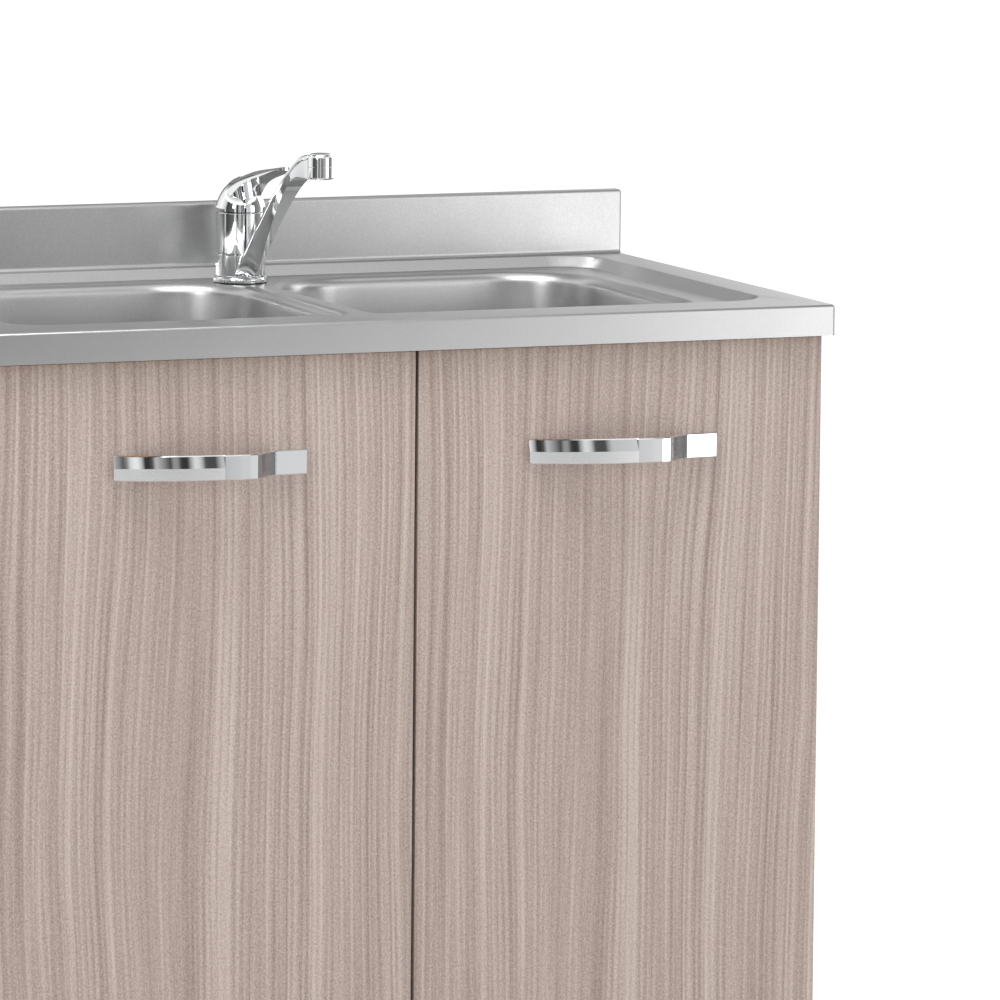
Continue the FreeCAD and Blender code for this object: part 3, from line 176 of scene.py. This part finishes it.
def makeWorld():
    # Camera rays see white. Above the cards, reflections see a grey room with a pale ceiling.
    world = bpy.data.worlds.new("studio")
    bpy.context.scene.world = world
    world.use_nodes = True
    tree = world.node_tree
    tree.nodes.clear()
    path = addNode(tree, "ShaderNodeLightPath")
    spot = addNode(tree, "ShaderNodeTexCoord")
    parts = addNode(tree, "ShaderNodeSeparateXYZ", {"Vector": spot.outputs["Generated"]})
    height = addNode(tree, "ShaderNodeMath", {0: parts.outputs["Z"], 1: 0.5, 2: 0.5}, operation="MULTIPLY_ADD")
    sky = addNode(tree, "ShaderNodeValToRGB", {"Fac": height.outputs[0]}, studio["sky"])
    lit = addNode(tree, "ShaderNodeBackground", {"Color": white, "Strength": studio["fill"]})
    seen = addNode(tree, "ShaderNodeBackground", {"Color": white, "Strength": 1.0})
    gloss = addNode(tree, "ShaderNodeBackground", {"Color": sky.outputs["Color"], "Strength": studio["skyGlow"]})
    glossOrLit = addNode(tree, "ShaderNodeMixShader",
                         {0: path.outputs["Is Glossy Ray"], 1: lit.outputs[0], 2: gloss.outputs[0]})
    direct = addNode(tree, "ShaderNodeMath",
                     {0: path.outputs["Is Camera Ray"], 1: path.outputs["Is Transmission Ray"]},
                     operation="MAXIMUM")
    out = addNode(tree, "ShaderNodeMixShader",
                  {0: direct.outputs[0], 1: glossOrLit.outputs[0], 2: seen.outputs[0]})
    addNode(tree, "ShaderNodeOutputWorld", {"Surface": out.outputs[0]})


def makeCards():
    # An upright ring of black, grey and white cards that only reflections see. Point (turn, rise) of the ring is
    # radius * (-sin(turn), cos(turn)) at height * rise, with turn from 0 to a full circle.
    turn, rise = np.meshgrid(np.linspace(0, 2 * math.pi, cards["steps"], endpoint=False), [0.0, 1.0])
    points = np.stack([-cards["radius"] * np.sin(turn), cards["radius"] * np.cos(turn), cards["height"] * rise], -1)
    mesh = bpy.data.meshes.new("cards")
    mesh.from_pydata(points.reshape(-1, 3).tolist(), [], tubeFaces(2, cards["steps"]).tolist())
    ring = newObject("cards", mesh)
    glow, tree = newMaterial("studioCards")
    glow.cycles.emission_sampling = "NONE"
    spot = addNode(tree, "ShaderNodeTexCoord")
    parts = addNode(tree, "ShaderNodeSeparateXYZ", {"Vector": spot.outputs["Object"]})
    leftward = addNode(tree, "ShaderNodeMath", {0: parts.outputs["X"], 1: -1.0}, operation="MULTIPLY")
    forward = addNode(tree, "ShaderNodeMath", {0: parts.outputs["Y"], 1: -1.0}, operation="MULTIPLY")
    around = addNode(tree, "ShaderNodeMath", {0: leftward.outputs[0], 1: forward.outputs[0]}, operation="ARCTAN2")
    place = addNode(tree, "ShaderNodeMath", {0: around.outputs[0], 1: -0.5 / math.pi, 2: 0.5},
                    operation="MULTIPLY_ADD")
    across = addNode(tree, "ShaderNodeValToRGB", {"Fac": place.outputs[0]}, cards["ring"])
    shine = addNode(tree, "ShaderNodeEmission", {"Color": across.outputs["Color"], "Strength": cards["glow"]})
    addNode(tree, "ShaderNodeOutputMaterial", {"Surface": shine.outputs[0]})
    mesh.materials.append(glow)
    for kind in ("camera", "diffuse", "transmission", "volume_scatter", "shadow"):
        setattr(ring, "visible_" + kind, False)


def makeLamps():
    for name, place, target, width, height, power in studio["lamps"]:
        data = bpy.data.lights.new(name, "AREA")
        data.shape = "RECTANGLE"
        data.size, data.size_y = width, height
        data.energy = power
        lamp = newObject(name, data)
        lamp.location = place
        lamp.rotation_euler = (Vector(target) - Vector(place)).to_track_quat("-Z", "Y").to_euler()
        lamp.visible_camera = False


def makeFloor():
    reach = studio["floor"]
    corners = [(-reach, -reach, 0), (reach, -reach, 0), (reach, reach, 0), (-reach, reach, 0)]
    mesh = bpy.data.meshes.new("floor")
    mesh.from_pydata(corners, [], [(0, 1, 2, 3)])
    floor = newObject("floor", mesh)
    # pale matt studio paper: it glows to white for the camera and for gloss, and keeps the shadow of the unit
    paper, tree = newMaterial("studioPaper")
    path = addNode(tree, "ShaderNodeLightPath")
    matt = addNode(tree, "ShaderNodeBsdfDiffuse", {"Color": linear(studio["paper"])})
    glow = addNode(tree, "ShaderNodeEmission", {"Color": white, "Strength": studio["paperGlow"]})
    both = addNode(tree, "ShaderNodeAddShader", {0: matt.outputs[0], 1: glow.outputs[0]})
    direct = addNode(tree, "ShaderNodeMath",
                     {0: path.outputs["Is Camera Ray"], 1: path.outputs["Is Transmission Ray"]},
                     operation="MAXIMUM")
    seen = addNode(tree, "ShaderNodeMath", {0: direct.outputs[0], 1: path.outputs["Is Glossy Ray"]},
                   operation="MAXIMUM")
    surface = addNode(tree, "ShaderNodeMixShader", {0: seen.outputs[0], 1: matt.outputs[0], 2: both.outputs[0]})
    addNode(tree, "ShaderNodeOutputMaterial", {"Surface": surface.outputs[0]})
    mesh.materials.append(paper)


bpy.context.scene.view_settings.view_transform = "Standard"
makeWorld()
makeCards()
makeLamps()
makeFloor()
makeCamera()
print("stage: camera, studio and floor are up")


# finishes

def finishMaterial(tree, sockets, height, strength, depth):
    # a Principled surface with its output, and a bump of some strength and of depth millimetres from the height
    relief = addNode(tree, "ShaderNodeBump", {"Height": height, "Strength": strength, "Distance": depth * mm})
    shader = addNode(tree, "ShaderNodeBsdfPrincipled", dict(sockets, Normal=relief.outputs[0]))
    addNode(tree, "ShaderNodeOutputMaterial", {"Surface": shader.outputs[0]})


def grain(tree, size, detail, rough=0.5, shift=(0, 0, 0), place=None):
    # Soft random grains over the piece's own coordinates, or over another place. Size is a grain's millimetres
    # along X, Y and Z, and shift moves the pattern by so many grains.
    place = place or addNode(tree, "ShaderNodeTexCoord").outputs["Object"]
    spread = addNode(tree, "ShaderNodeMapping",
                     {"Vector": place, "Scale": [1000 / s for s in size], "Location": shift})
    return addNode(tree, "ShaderNodeTexNoise", {"Vector": spread.outputs[0], "Scale": 1.0, "Detail": detail,
                                                "Roughness": rough}).outputs["Fac"]


sheet = {
    "pitch": 0.9, "length": 14, "speck": 0.769, "mottle": 60,    # millimetres
    "shades": [(0.3, "#B9B9B9"), (0.7, "#CACACA")], "rough": (0.27, 0.35),
}


def satinSteel():
    # 18/10 stainless sheet, cold rolled and belt polished: soft grey reflections, a fine grain along the front
    material, tree = newMaterial("satinStainlessSheet")
    lines = grain(tree, (sheet["length"], sheet["pitch"], sheet["pitch"]), 3)
    speck = grain(tree, (sheet["speck"],) * 3, 1)
    patch = grain(tree, (sheet["mottle"],) * 3, 2)
    rough = addNode(tree, "ShaderNodeMapRange",
                    {"Value": patch, "To Min": sheet["rough"][0], "To Max": sheet["rough"][1]}).outputs[0]
    tint = addNode(tree, "ShaderNodeValToRGB", {"Fac": speck}, sheet["shades"]).outputs[0]
    both = addNode(tree, "ShaderNodeMath", {0: lines, 1: speck}, operation="ADD").outputs[0]
    finishMaterial(tree, {"Base Color": tint, "Metallic": 1.0, "Roughness": rough}, both, 0.12, 0.06)
    return material


def brightChrome():
    # bright chrome on cast brass or zinc: nearly a mirror, with a trace of the casting's ripple
    material, tree = newMaterial("brightChromePlate")
    ripple = grain(tree, (11.11,) * 3, 1)
    finishMaterial(tree, {"Base Color": linear("#F0F1F2"), "Metallic": 1.0, "Roughness": 0.04}, ripple, 0.02, 0.4)
    return material


def brushedChrome(name, dark, light, rough):
    # the same plate over a ground face: satin, with fine lines along the handle
    material, tree = newMaterial(name)
    lines = grain(tree, (55.6, 0.667, 0.455), 3)
    tint = addNode(tree, "ShaderNodeValToRGB", {"Fac": lines}, [(0.3, dark), (0.7, light)]).outputs[0]
    finishMaterial(tree, {"Base Color": tint, "Metallic": 1.0, "Roughness": rough}, lines, 0.08, 0.04)
    return material


foil = {
    # each figure's width and length in millimetres, and how much of it shows in the colour
    "ring": (6.2, 900, 0.36), "fine": (2.4, 160, 0.26), "pore": (1.4, 2.0, 0.38), "band": (60, 900, 0.10),
    "drift": 26, "driftWidth": 240, "driftLength": 600,    # how far, and over what, the lines wander
    "wander": 9.0, "ridges": (0.01, 0.05),    # radians that a ring strays, and how strong ridges are band by band
    "shades": [(0.39, "#8B7A73"), (0.49, "#A09088"), (0.56, "#AD9D95"), (0.63, "#B9AAA2"), (0.73, "#C7BAB2")],
}


def laminate(name, shift):
    # melamine foil printed as pale larch and pressed with fine pores: upright lines that drift together and
    # apart as the growth rings do, broken up by short pores
    material, tree = newMaterial(name)
    place = addNode(tree, "ShaderNodeTexCoord").outputs["Object"]
    moved = addNode(tree, "ShaderNodeMapping", {"Vector": place, "Location": shift}).outputs[0]
    parts = addNode(tree, "ShaderNodeSeparateXYZ", {"Vector": moved})
    wide, tall = foil["driftWidth"], foil["driftLength"]
    slow = grain(tree, (wide, wide, tall), 1.5, 0.45, shift)
    bent = addNode(tree, "ShaderNodeMath", {0: slow, 1: foil["drift"] * mm * 2, 2: parts.outputs["X"]},
                   operation="MULTIPLY_ADD").outputs[0]
    drifted = addNode(tree, "ShaderNodeCombineXYZ",
                      {"X": bent, "Y": parts.outputs["Y"], "Z": parts.outputs["Z"]}).outputs[0]

    def lines(figure, detail, rough=0.5):
        width, length, _ = foil[figure]
        return grain(tree, (width, width, length), detail, rough, place=drifted)

    ring, fine, pore, band = lines("ring", 1.0), lines("fine", 2.0, 0.6), lines("pore", 1.0), lines("band", 1.0)
    # ridges: the sine of the drifted X, one turn to a ring, set off by the ring's own noise
    loose = addNode(tree, "ShaderNodeMath", {0: ring, 1: foil["wander"]}, operation="MULTIPLY").outputs[0]
    phase = addNode(tree, "ShaderNodeMath", {0: bent, 1: 2000 * math.pi / foil["ring"][0], 2: loose},
                    operation="MULTIPLY_ADD").outputs[0]
    ridge = addNode(tree, "ShaderNodeMath", {0: phase}, operation="SINE").outputs[0]
    weak, strong = foil["ridges"]
    strength = addNode(tree, "ShaderNodeMapRange", {"Value": band, "From Min": 0.35, "From Max": 0.65,
                                                    "To Min": weak, "To Max": strong}).outputs[0]
    mix = addNode(tree, "ShaderNodeMath", {0: ridge, 1: strength}, operation="MULTIPLY").outputs[0]
    for source, figure in ((ring, "ring"), (fine, "fine"), (pore, "pore"), (band, "band")):
        mix = addNode(tree, "ShaderNodeMath", {0: source, 1: foil[figure][2], 2: mix},
                      operation="MULTIPLY_ADD").outputs[0]
    colour = addNode(tree, "ShaderNodeValToRGB", {"Fac": mix}, foil["shades"]).outputs[0]
    finishMaterial(tree, {"Base Color": colour, "Roughness": 0.55, "Specular IOR Level": 0.35}, mix, 0.30, 0.25)
    return material


def plainFinish(name, colour, roughness, metallic=0.0, size=2.5, depth=0.05, uneven=0.06):
    # one moulded, plated or coated finish with a slight unevenness of shade and surface; size and depth of the
    # grain are in millimetres
    material, tree = newMaterial(name)
    texture = grain(tree, (size,) * 3, 3)
    base = linear(colour)[:3]
    dark = tuple(c * (1 - uneven) for c in base) + (1,)
    light = tuple(min(1, c * (1 + uneven)) for c in base) + (1,)
    shade = addNode(tree, "ShaderNodeMix", {0: texture, 6: dark, 7: light}, data_type="RGBA").outputs[2]
    rough = addNode(tree, "ShaderNodeMapRange", {"Value": texture, "To Min": roughness * 0.85,
                                                 "To Max": min(1, roughness * 1.15)}).outputs[0]
    finishMaterial(tree, {"Base Color": shade, "Metallic": metallic, "Roughness": rough}, texture, 0.3, depth)
    return material


def chipboard():
    # raw chipboard: pale and brown flakes a few millimetres long
    size = (2.38, 2.38, 1.43)    # millimetres
    material, tree = newMaterial("rawChipboard")
    place = addNode(tree, "ShaderNodeTexCoord").outputs["Object"]
    flakes = addNode(tree, "ShaderNodeMapping", {"Vector": place, "Scale": [1000 / s for s in size]}).outputs[0]
    cells = addNode(tree, "ShaderNodeTexVoronoi", {"Vector": flakes, "Scale": 1.0}).outputs["Color"]
    flake = addNode(tree, "ShaderNodeSeparateColor", {"Color": cells}).outputs[0]
    shades = [(0.0, "#8A6A47"), (0.5, "#B08E63"), (1.0, "#CDB48A")]
    colour = addNode(tree, "ShaderNodeValToRGB", {"Fac": flake}, shades).outputs[0]
    finishMaterial(tree, {"Base Color": colour, "Roughness": 0.85}, flake, 0.4, 0.3)
    return material


finishes = {
    "sheet_steel": satinSteel(),
    # the wastes' pressed and polished stainless: brighter and smoother than the sheet
    "polished_steel": plainFinish("polishedStainless", "#C9CACB", 0.16, 1.0, size=5, depth=0.03, uneven=0.04),
    "chrome": brightChrome(),
    "laminate": laminate("larchFoilMelamine", (0, 0, 0)),
    # carcass board faced with pressed melamine paper: an even, matt off-white
    "carcass_board": plainFinish("whiteMelamineBoard", "#E3E1DC", 0.5, size=1.11, depth=0.04, uneven=0.02),
    "chipboard": chipboard(),
    # moulded rubber seals: dull black
    "black_rubber": plainFinish("softBlackRubber", "#1C1C1C", 0.75, size=1.67, depth=0.06),
    # injection moulded wastes and trap: a soft shine on warm white
    "white_plastic": plainFinish("whitePolypropylene", "#E6E5E0", 0.38, size=2, depth=0.04, uneven=0.03),
    # moulded feet, sockets and clips: satin black
    "dark_plastic": plainFinish("blackPolyamide", "#222325", 0.5, size=1.43, depth=0.06),
    # pressed and plated fittings: a warm grey metal with soft reflections
    "plated_steel": plainFinish("nickelPlatedSteel", "#BDB9B2", 0.26, 1.0, size=3.33, depth=0.04),
    # turned brass nut: yellow, as left by the lathe
    "brass": plainFinish("turnedBrass", "#C9A35A", 0.25, 1.0, size=3.33, depth=0.04),
}
handleFinishes = [
    finishes["chrome"],
    brushedChrome("brushedChromePlate", "#DCDDDE", "#EAEAEB", 0.38),     # lower half of the rise
    brushedChrome("brushedChromePaintedShadeHollow", "#A2A3A6", "#BABBBE", 0.27),    # hollow behind the crest: the same satin plate, its darker tint painted shade
]


def giveFinish(piece, material):
    piece.data.materials.clear()
    piece.data.materials.append(material)


for nodeName, node in nodes.items():
    giveFinish(node, finishes[slotOf[nodeName]])
giveFinish(nodes["left_door"], laminate("larchFoilLeftDoor", (0.113, 0, 0.06)))
giveFinish(nodes["right_door"], laminate("larchFoilRightDoor", (-0.282, 0, 0.06)))
print("finishes: every node has its material")


# merged copies that stand for nodes, so that their rounds shade smoothly

copies = {
    "join": 2e-6,    # metres; corners nearer than this are one
    "sharp": 32, "flat": 0.5,    # degrees: edges that turn more stay sharp, edges that turn less go
    "edgeRound": 0.9, "onBox": 0.01,    # millimetres: the doors' edges, and what counts as lying in the box
    "roundSteps": 2,
}


def standsFor(piece, nodeName):
    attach(piece, bodyOf[nodeName])
    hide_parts(nodeName)


def mergedCopy(nodeName):
    # a copy of a node's mesh with its loose triangles joined
    mesh = nodes[nodeName].data.copy()
    work = bmesh.new()
    work.from_mesh(mesh)
    bmesh.ops.remove_doubles(work, verts=work.verts, dist=copies["join"])
    return mesh, work


def shadeSmooth(work, sharp):
    # every face is smooth, and edges that turn by sharp degrees or more stay sharp
    for face in work.faces:
        face.smooth = True
    for edge in work.edges:
        edge.smooth = edge.is_manifold and edge.calc_face_angle(0) < math.radians(sharp)


def smoothCopy(nodeName):
    mesh, work = mergedCopy(nodeName)
    shadeSmooth(work, copies["sharp"])
    work.to_mesh(mesh)
    work.free()
    standsFor(newObject(nodeName + "_smooth", mesh), nodeName)


def edgedCopy(nodeName):
    # a board whose outer edges get a small round that catches the light; its holes stay sharp
    low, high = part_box(nodeName)
    mesh, work = mergedCopy(nodeName)
    flat = math.radians(copies["flat"])
    bmesh.ops.dissolve_limit(work, angle_limit=flat, verts=work.verts, edges=work.edges)
    weight = work.edges.layers.float.new("bevel_weight_edge")
    shadeSmooth(work, copies["sharp"])
    for edge in work.edges:
        sides = sum(all(abs(end.co[axis] - bound[axis]) < copies["onBox"] * mm for end in edge.verts)
                    for bound in (low, high) for axis in range(3))
        if sides == 2:    # an outer edge lies in two faces of the board's box
            edge[weight] = 1.0
            edge.smooth = True
    work.to_mesh(mesh)
    work.free()
    piece = newObject(nodeName + "_edged", mesh)
    standsFor(piece, nodeName)
    edge = piece.modifiers.new("softEdge", "BEVEL")
    edge.width = copies["edgeRound"] * mm
    edge.segments = copies["roundSteps"]
    edge.limit_method = "WEIGHT"
    edge.harden_normals = True


# bow handles: die cast, ground on the lower half of the rise and in the hollow behind the crest; the hollow's darker
# tint is painted shade

bowHandle = {
    "foot": 7, "crest": 32, "round": 260,    # millimetres; depths are measured out from the door
    "lean": 3.4,    # the upper half of the rise leans back that much
    "chamfer": 0.8, "cornerRight": 3.0, "cornerLeft": 1.6,
    # shares of the length: the crest, the lean's end, the stretch clear of the door, and the hollow
    "crestAt": 0.6, "leanEnds": 0.52, "clear": (0.12, 0.81), "hollow": (0.69, 0.82),
    "ends": [0, 0.002, 0.005, 0.01, 0.985, 0.99, 0.995, 0.998],    # closer sections for the round corners
    "riseSteps": 56, "fallSteps": 60,
    "sharp": 12,    # degrees; edges that turn more stay sharp
    # shares of the length with the depth of the front behind the crest, and of the back
    "front": [(0.60, 32.0), (0.65, 31.7), (0.69, 30.9), (0.715, 27.2), (0.74, 22.6), (0.76, 19.4),
              (0.79, 15.2), (0.82, 12.0), (0.90, 10.8), (0.985, 9.5), (1.0, 7.2)],
    "back": [(0.12, 5.0), (0.2, 9.8), (0.3, 16.0), (0.4, 21.0), (0.52, 25.4), (0.60, 25.6), (0.63, 25.0),
             (0.67, 20.5), (0.71, 14.0), (0.76, 8.2), (0.81, 3.5)],
}


def arcDepth(x, run):
    # How far out the arc through the foot, at 0, and the crest, at run, is at x. Its centre lies behind the middle
    # of that chord by the root of (round squared less a quarter of the chord squared).
    spec = bowHandle
    climb = spec["crest"] - spec["foot"]
    chord = math.hypot(run, climb)
    sink = math.sqrt(spec["round"] ** 2 - chord ** 2 / 4)
    centreX = run / 2 + sink * climb / chord
    centreY = (spec["foot"] + spec["crest"]) / 2 - sink * run / chord
    return centreY + np.sqrt(np.maximum(spec["round"] ** 2 - (x - centreX) ** 2, 0))


def cornerDrop(reach, corner):
    # how much lower a round corner is at some reach from the end: corner less the root of
    # (corner squared less (corner - reach) squared), and nothing beyond the corner
    return corner - np.sqrt(corner ** 2 - (corner - np.minimum(reach, corner)) ** 2)


def makeHandle(nodeName):
    # The handle is a section of seven points carried along its length. At share t of the length the front stands
    # out by the arc up to the crest and by a line through the listed depths after it, and the back by a second line.
    spec, sides = bowHandle, 7
    low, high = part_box(nodeName)
    length, tall = (high[0] - low[0]) / mm, (high[2] - low[2]) / mm / 2
    left, door, middle = low[0] / mm, high[1] / mm, (low[2] + high[2]) / 2 / mm
    t = np.unique(np.concatenate([spec["ends"], np.linspace(0, spec["crestAt"], spec["riseSteps"]),
                                  np.linspace(spec["crestAt"], 1, spec["fallSteps"])]))
    jumps = [spec["clear"][0], spec["leanEnds"], spec["clear"][1]]    # two more sections where the shape jumps
    t = np.sort(np.concatenate([t, jumps, jumps]))
    second = np.concatenate([[False], np.diff(t) == 0])    # the later of two sections at one place
    x = t * length

    def past(place):
        return (t > place) | ((t == place) & second)

    front = np.where(t < spec["crestAt"], arcDepth(x, spec["crestAt"] * length), np.interp(t, *zip(*spec["front"])))
    clear = past(spec["clear"][0]) & ~past(spec["clear"][1])
    back = np.where(clear, np.interp(t, *zip(*spec["back"])), 0.0)
    lean = np.where(past(spec["leanEnds"]), 0.0, spec["lean"])
    half = tall - cornerDrop(length - x, spec["cornerRight"]) - cornerDrop(x, spec["cornerLeft"])
    cut = np.minimum(spec["chamfer"], (front - back) / 3)
    depth = np.stack([back, front - cut, front, front, front - lean * (half - cut) / tall, front - lean - cut,
                      back], 1)
    height = np.stack([-half, -half, -half + cut, np.zeros_like(t), half - cut, half, half], 1)
    points = np.stack([np.repeat(x[:, None], sides, 1) + left, door - depth, middle + height], -1) * mm
    count = len(t)
    caps = [tuple(range(sides - 1, -1, -1)), tuple(range((count - 1) * sides, count * sides))]
    mesh = bpy.data.meshes.new(nodeName + "_cast")
    mesh.from_pydata(points.reshape(-1, 3).tolist(), [], tubeFaces(count, sides).tolist() + caps)
    share = (t[:-1] + t[1:]) / 2
    finish = np.zeros((count - 1, sides), int)    # places in handleFinishes
    finish[:, 2] = share < spec["leanEnds"]
    # faces in the hollow behind the crest take the darker plate, whose darkness is painted shade
    finish[(share > spec["hollow"][0]) & (share < spec["hollow"][1]), 2:4] = 2
    mesh.polygons.foreach_set("material_index", finish.reshape(-1).tolist() + [0, 0])
    work = bmesh.new()
    work.from_mesh(mesh)
    bmesh.ops.dissolve_degenerate(work, dist=1e-7, edges=work.edges)
    bmesh.ops.recalc_face_normals(work, faces=work.faces)
    shadeSmooth(work, spec["sharp"])
    work.to_mesh(mesh)
    work.free()
    standsFor(newObject(nodeName + "_cast", mesh), nodeName)
    for material in handleFinishes:
        mesh.materials.append(material)


for nodeName in ("left_handle", "right_handle"):
    makeHandle(nodeName)
print("handles: two bows are cast")

for nodeName in ("left_door", "right_door"):
    edgedCopy(nodeName)
print("doors: edge bands are rounded")


# drawn bowls with a soft wide roll at the mouth

drawnBowl = {
    "flange": (0, 0.6, 1.0), "corner": 89, "roll": 11, "gauge": 0.8,    # millimetres; the flange up to the roll
    "slope": 6, "eases": 1.5, "slopeEnds": 45,    # degrees, degrees less by its end, and its depth
    "wall": [(0.5, 70), (1.0, 95), (1.6, 122)],    # below the slope: further in, depth
    "heel": 8, "floor": 150,    # degrees off upright where the turn to the floor starts, and the floor's depth
    # floor and seat of the waste: radius, depth, and how far the outline has gone over to that circle
    "dish": [(64, 151.0, 0.5), (64, 152.0, 1), (59.5, 152.4, 1), (57.5, 153.6, 1), (56, 155.0, 1),
             (44, 155.2, 1)],
    "arcPoints": 12, "runPoints": 6,    # round a corner, and between two corners
    "rollRows": 12, "slopeRows": 8, "heelRows": 11,
}


def bowlProfile():
    # Rows of (step in from the flange's edge, depth). The roll is a circle's arc that stops short of upright by
    # the slope, the wall below it steps in by its fall times the tangent of the slope, and the turn to the floor
    # is a second arc.
    spec = drawnBowl
    *flat, start = spec["flange"]
    turn = np.radians(np.linspace(0, 90 - spec["slope"], spec["rollRows"]))
    roll = np.stack([start + spec["roll"] * np.sin(turn), spec["roll"] * (1 - np.cos(turn))], 1)
    inset, depth = roll[-1]
    share = np.linspace(0.1, 1, spec["slopeRows"])
    fall = (spec["slopeEnds"] - depth) * share
    slope = np.stack([inset + fall * np.tan(np.radians(spec["slope"] - spec["eases"] * share)), depth + fall], 1)
    wall = np.array(spec["wall"]) + [slope[-1, 0], 0]
    inset, depth = wall[-1]
    turn = np.radians(np.linspace(spec["heel"], 90, spec["heelRows"]))
    radius = spec["floor"] - depth
    heel = np.stack([inset + radius * (1 - np.cos(turn)), depth + radius * np.sin(turn)], 1)
    return np.concatenate([[(step, 0.0) for step in flat], roll, slope, wall, heel])


def roundedPlan(halfX, halfY, corner):
    # Points round a rounded rectangle, the same count for any size: at each corner a quarter arc, its centre plus
    # corner times (cos, sin) of the angle, and then a straight run to the next arc.
    quarter = np.radians(np.linspace(0, 90, drawnBowl["arcPoints"]))
    between = np.linspace(0, 1, drawnBowl["runPoints"] + 2)[1:-1, None]
    arcs = []
    for index, sign in enumerate(((1, 1), (-1, 1), (-1, -1), (1, -1))):
        angle = quarter + index * math.pi / 2
        centre = np.array([halfX - corner, halfY - corner]) * sign
        arcs.append(centre + corner * np.stack([np.cos(angle), np.sin(angle)], 1))
    runs = [arc[-1] + (after[0] - arc[-1]) * between for arc, after in zip(arcs, arcs[1:] + arcs[:1])]
    return np.concatenate([part for pair in zip(arcs, runs) for part in pair])


def makeBowl(nodeName):
    # Each row is the flange's outline stepped in by the profile; the floor then goes over into the waste's circle.
    spec = drawnBowl
    low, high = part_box(nodeName)
    middle = [(low[0] + high[0]) / 2, (low[1] + high[1]) / 2, high[2]]
    halfX, halfY = (high[0] - low[0]) / mm / 2, (high[1] - low[1]) / mm / 2
    inset, depth = bowlProfile().T
    walls = np.array([roundedPlan(halfX - step, halfY - step, spec["corner"] - step) for step in inset])
    edge = walls[-1]
    around = np.arctan2(edge[:, 1], edge[:, 0])
    circle = np.stack([np.cos(around), np.sin(around)], 1)
    radius, dishDepth, share = np.array(spec["dish"]).T[:, :, None, None]
    plan = np.concatenate([walls, edge * (1 - share) + circle * radius * share])
    depth = np.concatenate([depth, dishDepth.ravel()])
    rows, columns = plan.shape[:2]
    points = np.concatenate([plan, np.repeat(-depth[:, None, None], columns, 1)], -1).reshape(-1, 3) * mm + middle
    mesh = bpy.data.meshes.new(nodeName + "_drawn")
    mesh.from_pydata(points.tolist(), [], tubeFaces(rows, columns)[:, ::-1].tolist())
    mesh.polygons.foreach_set("use_smooth", [True] * len(mesh.polygons))
    if mesh.polygons[-1].normal.z < 0:
        mesh.flip_normals()
    piece = newObject(nodeName + "_drawn", mesh)
    standsFor(piece, nodeName)
    giveFinish(piece, finishes["sheet_steel"])
    wall = piece.modifiers.new("gauge", "SOLIDIFY")
    wall.thickness = spec["gauge"] * mm
    wall.offset = -1


for nodeName in ("left_bowl", "right_bowl"):
    makeBowl(nodeName)
print("bowls: two are drawn")


# boards have no rounds, and the doors, handles and bowls have pieces of their own
noCopy = {
    "left_side_board", "right_side_board", "bottom_board", "front_rail", "rear_top_rail", "rear_bottom_rail",
    "packing_frame", "plinth_board", "left_door", "right_door", "left_handle", "right_handle", "left_bowl",
    "right_bowl",
}
for nodeName in sorted(nodes):
    if nodeName not in noCopy:
        smoothCopy(nodeName)
print("curved nodes: smooth copies stand for them")
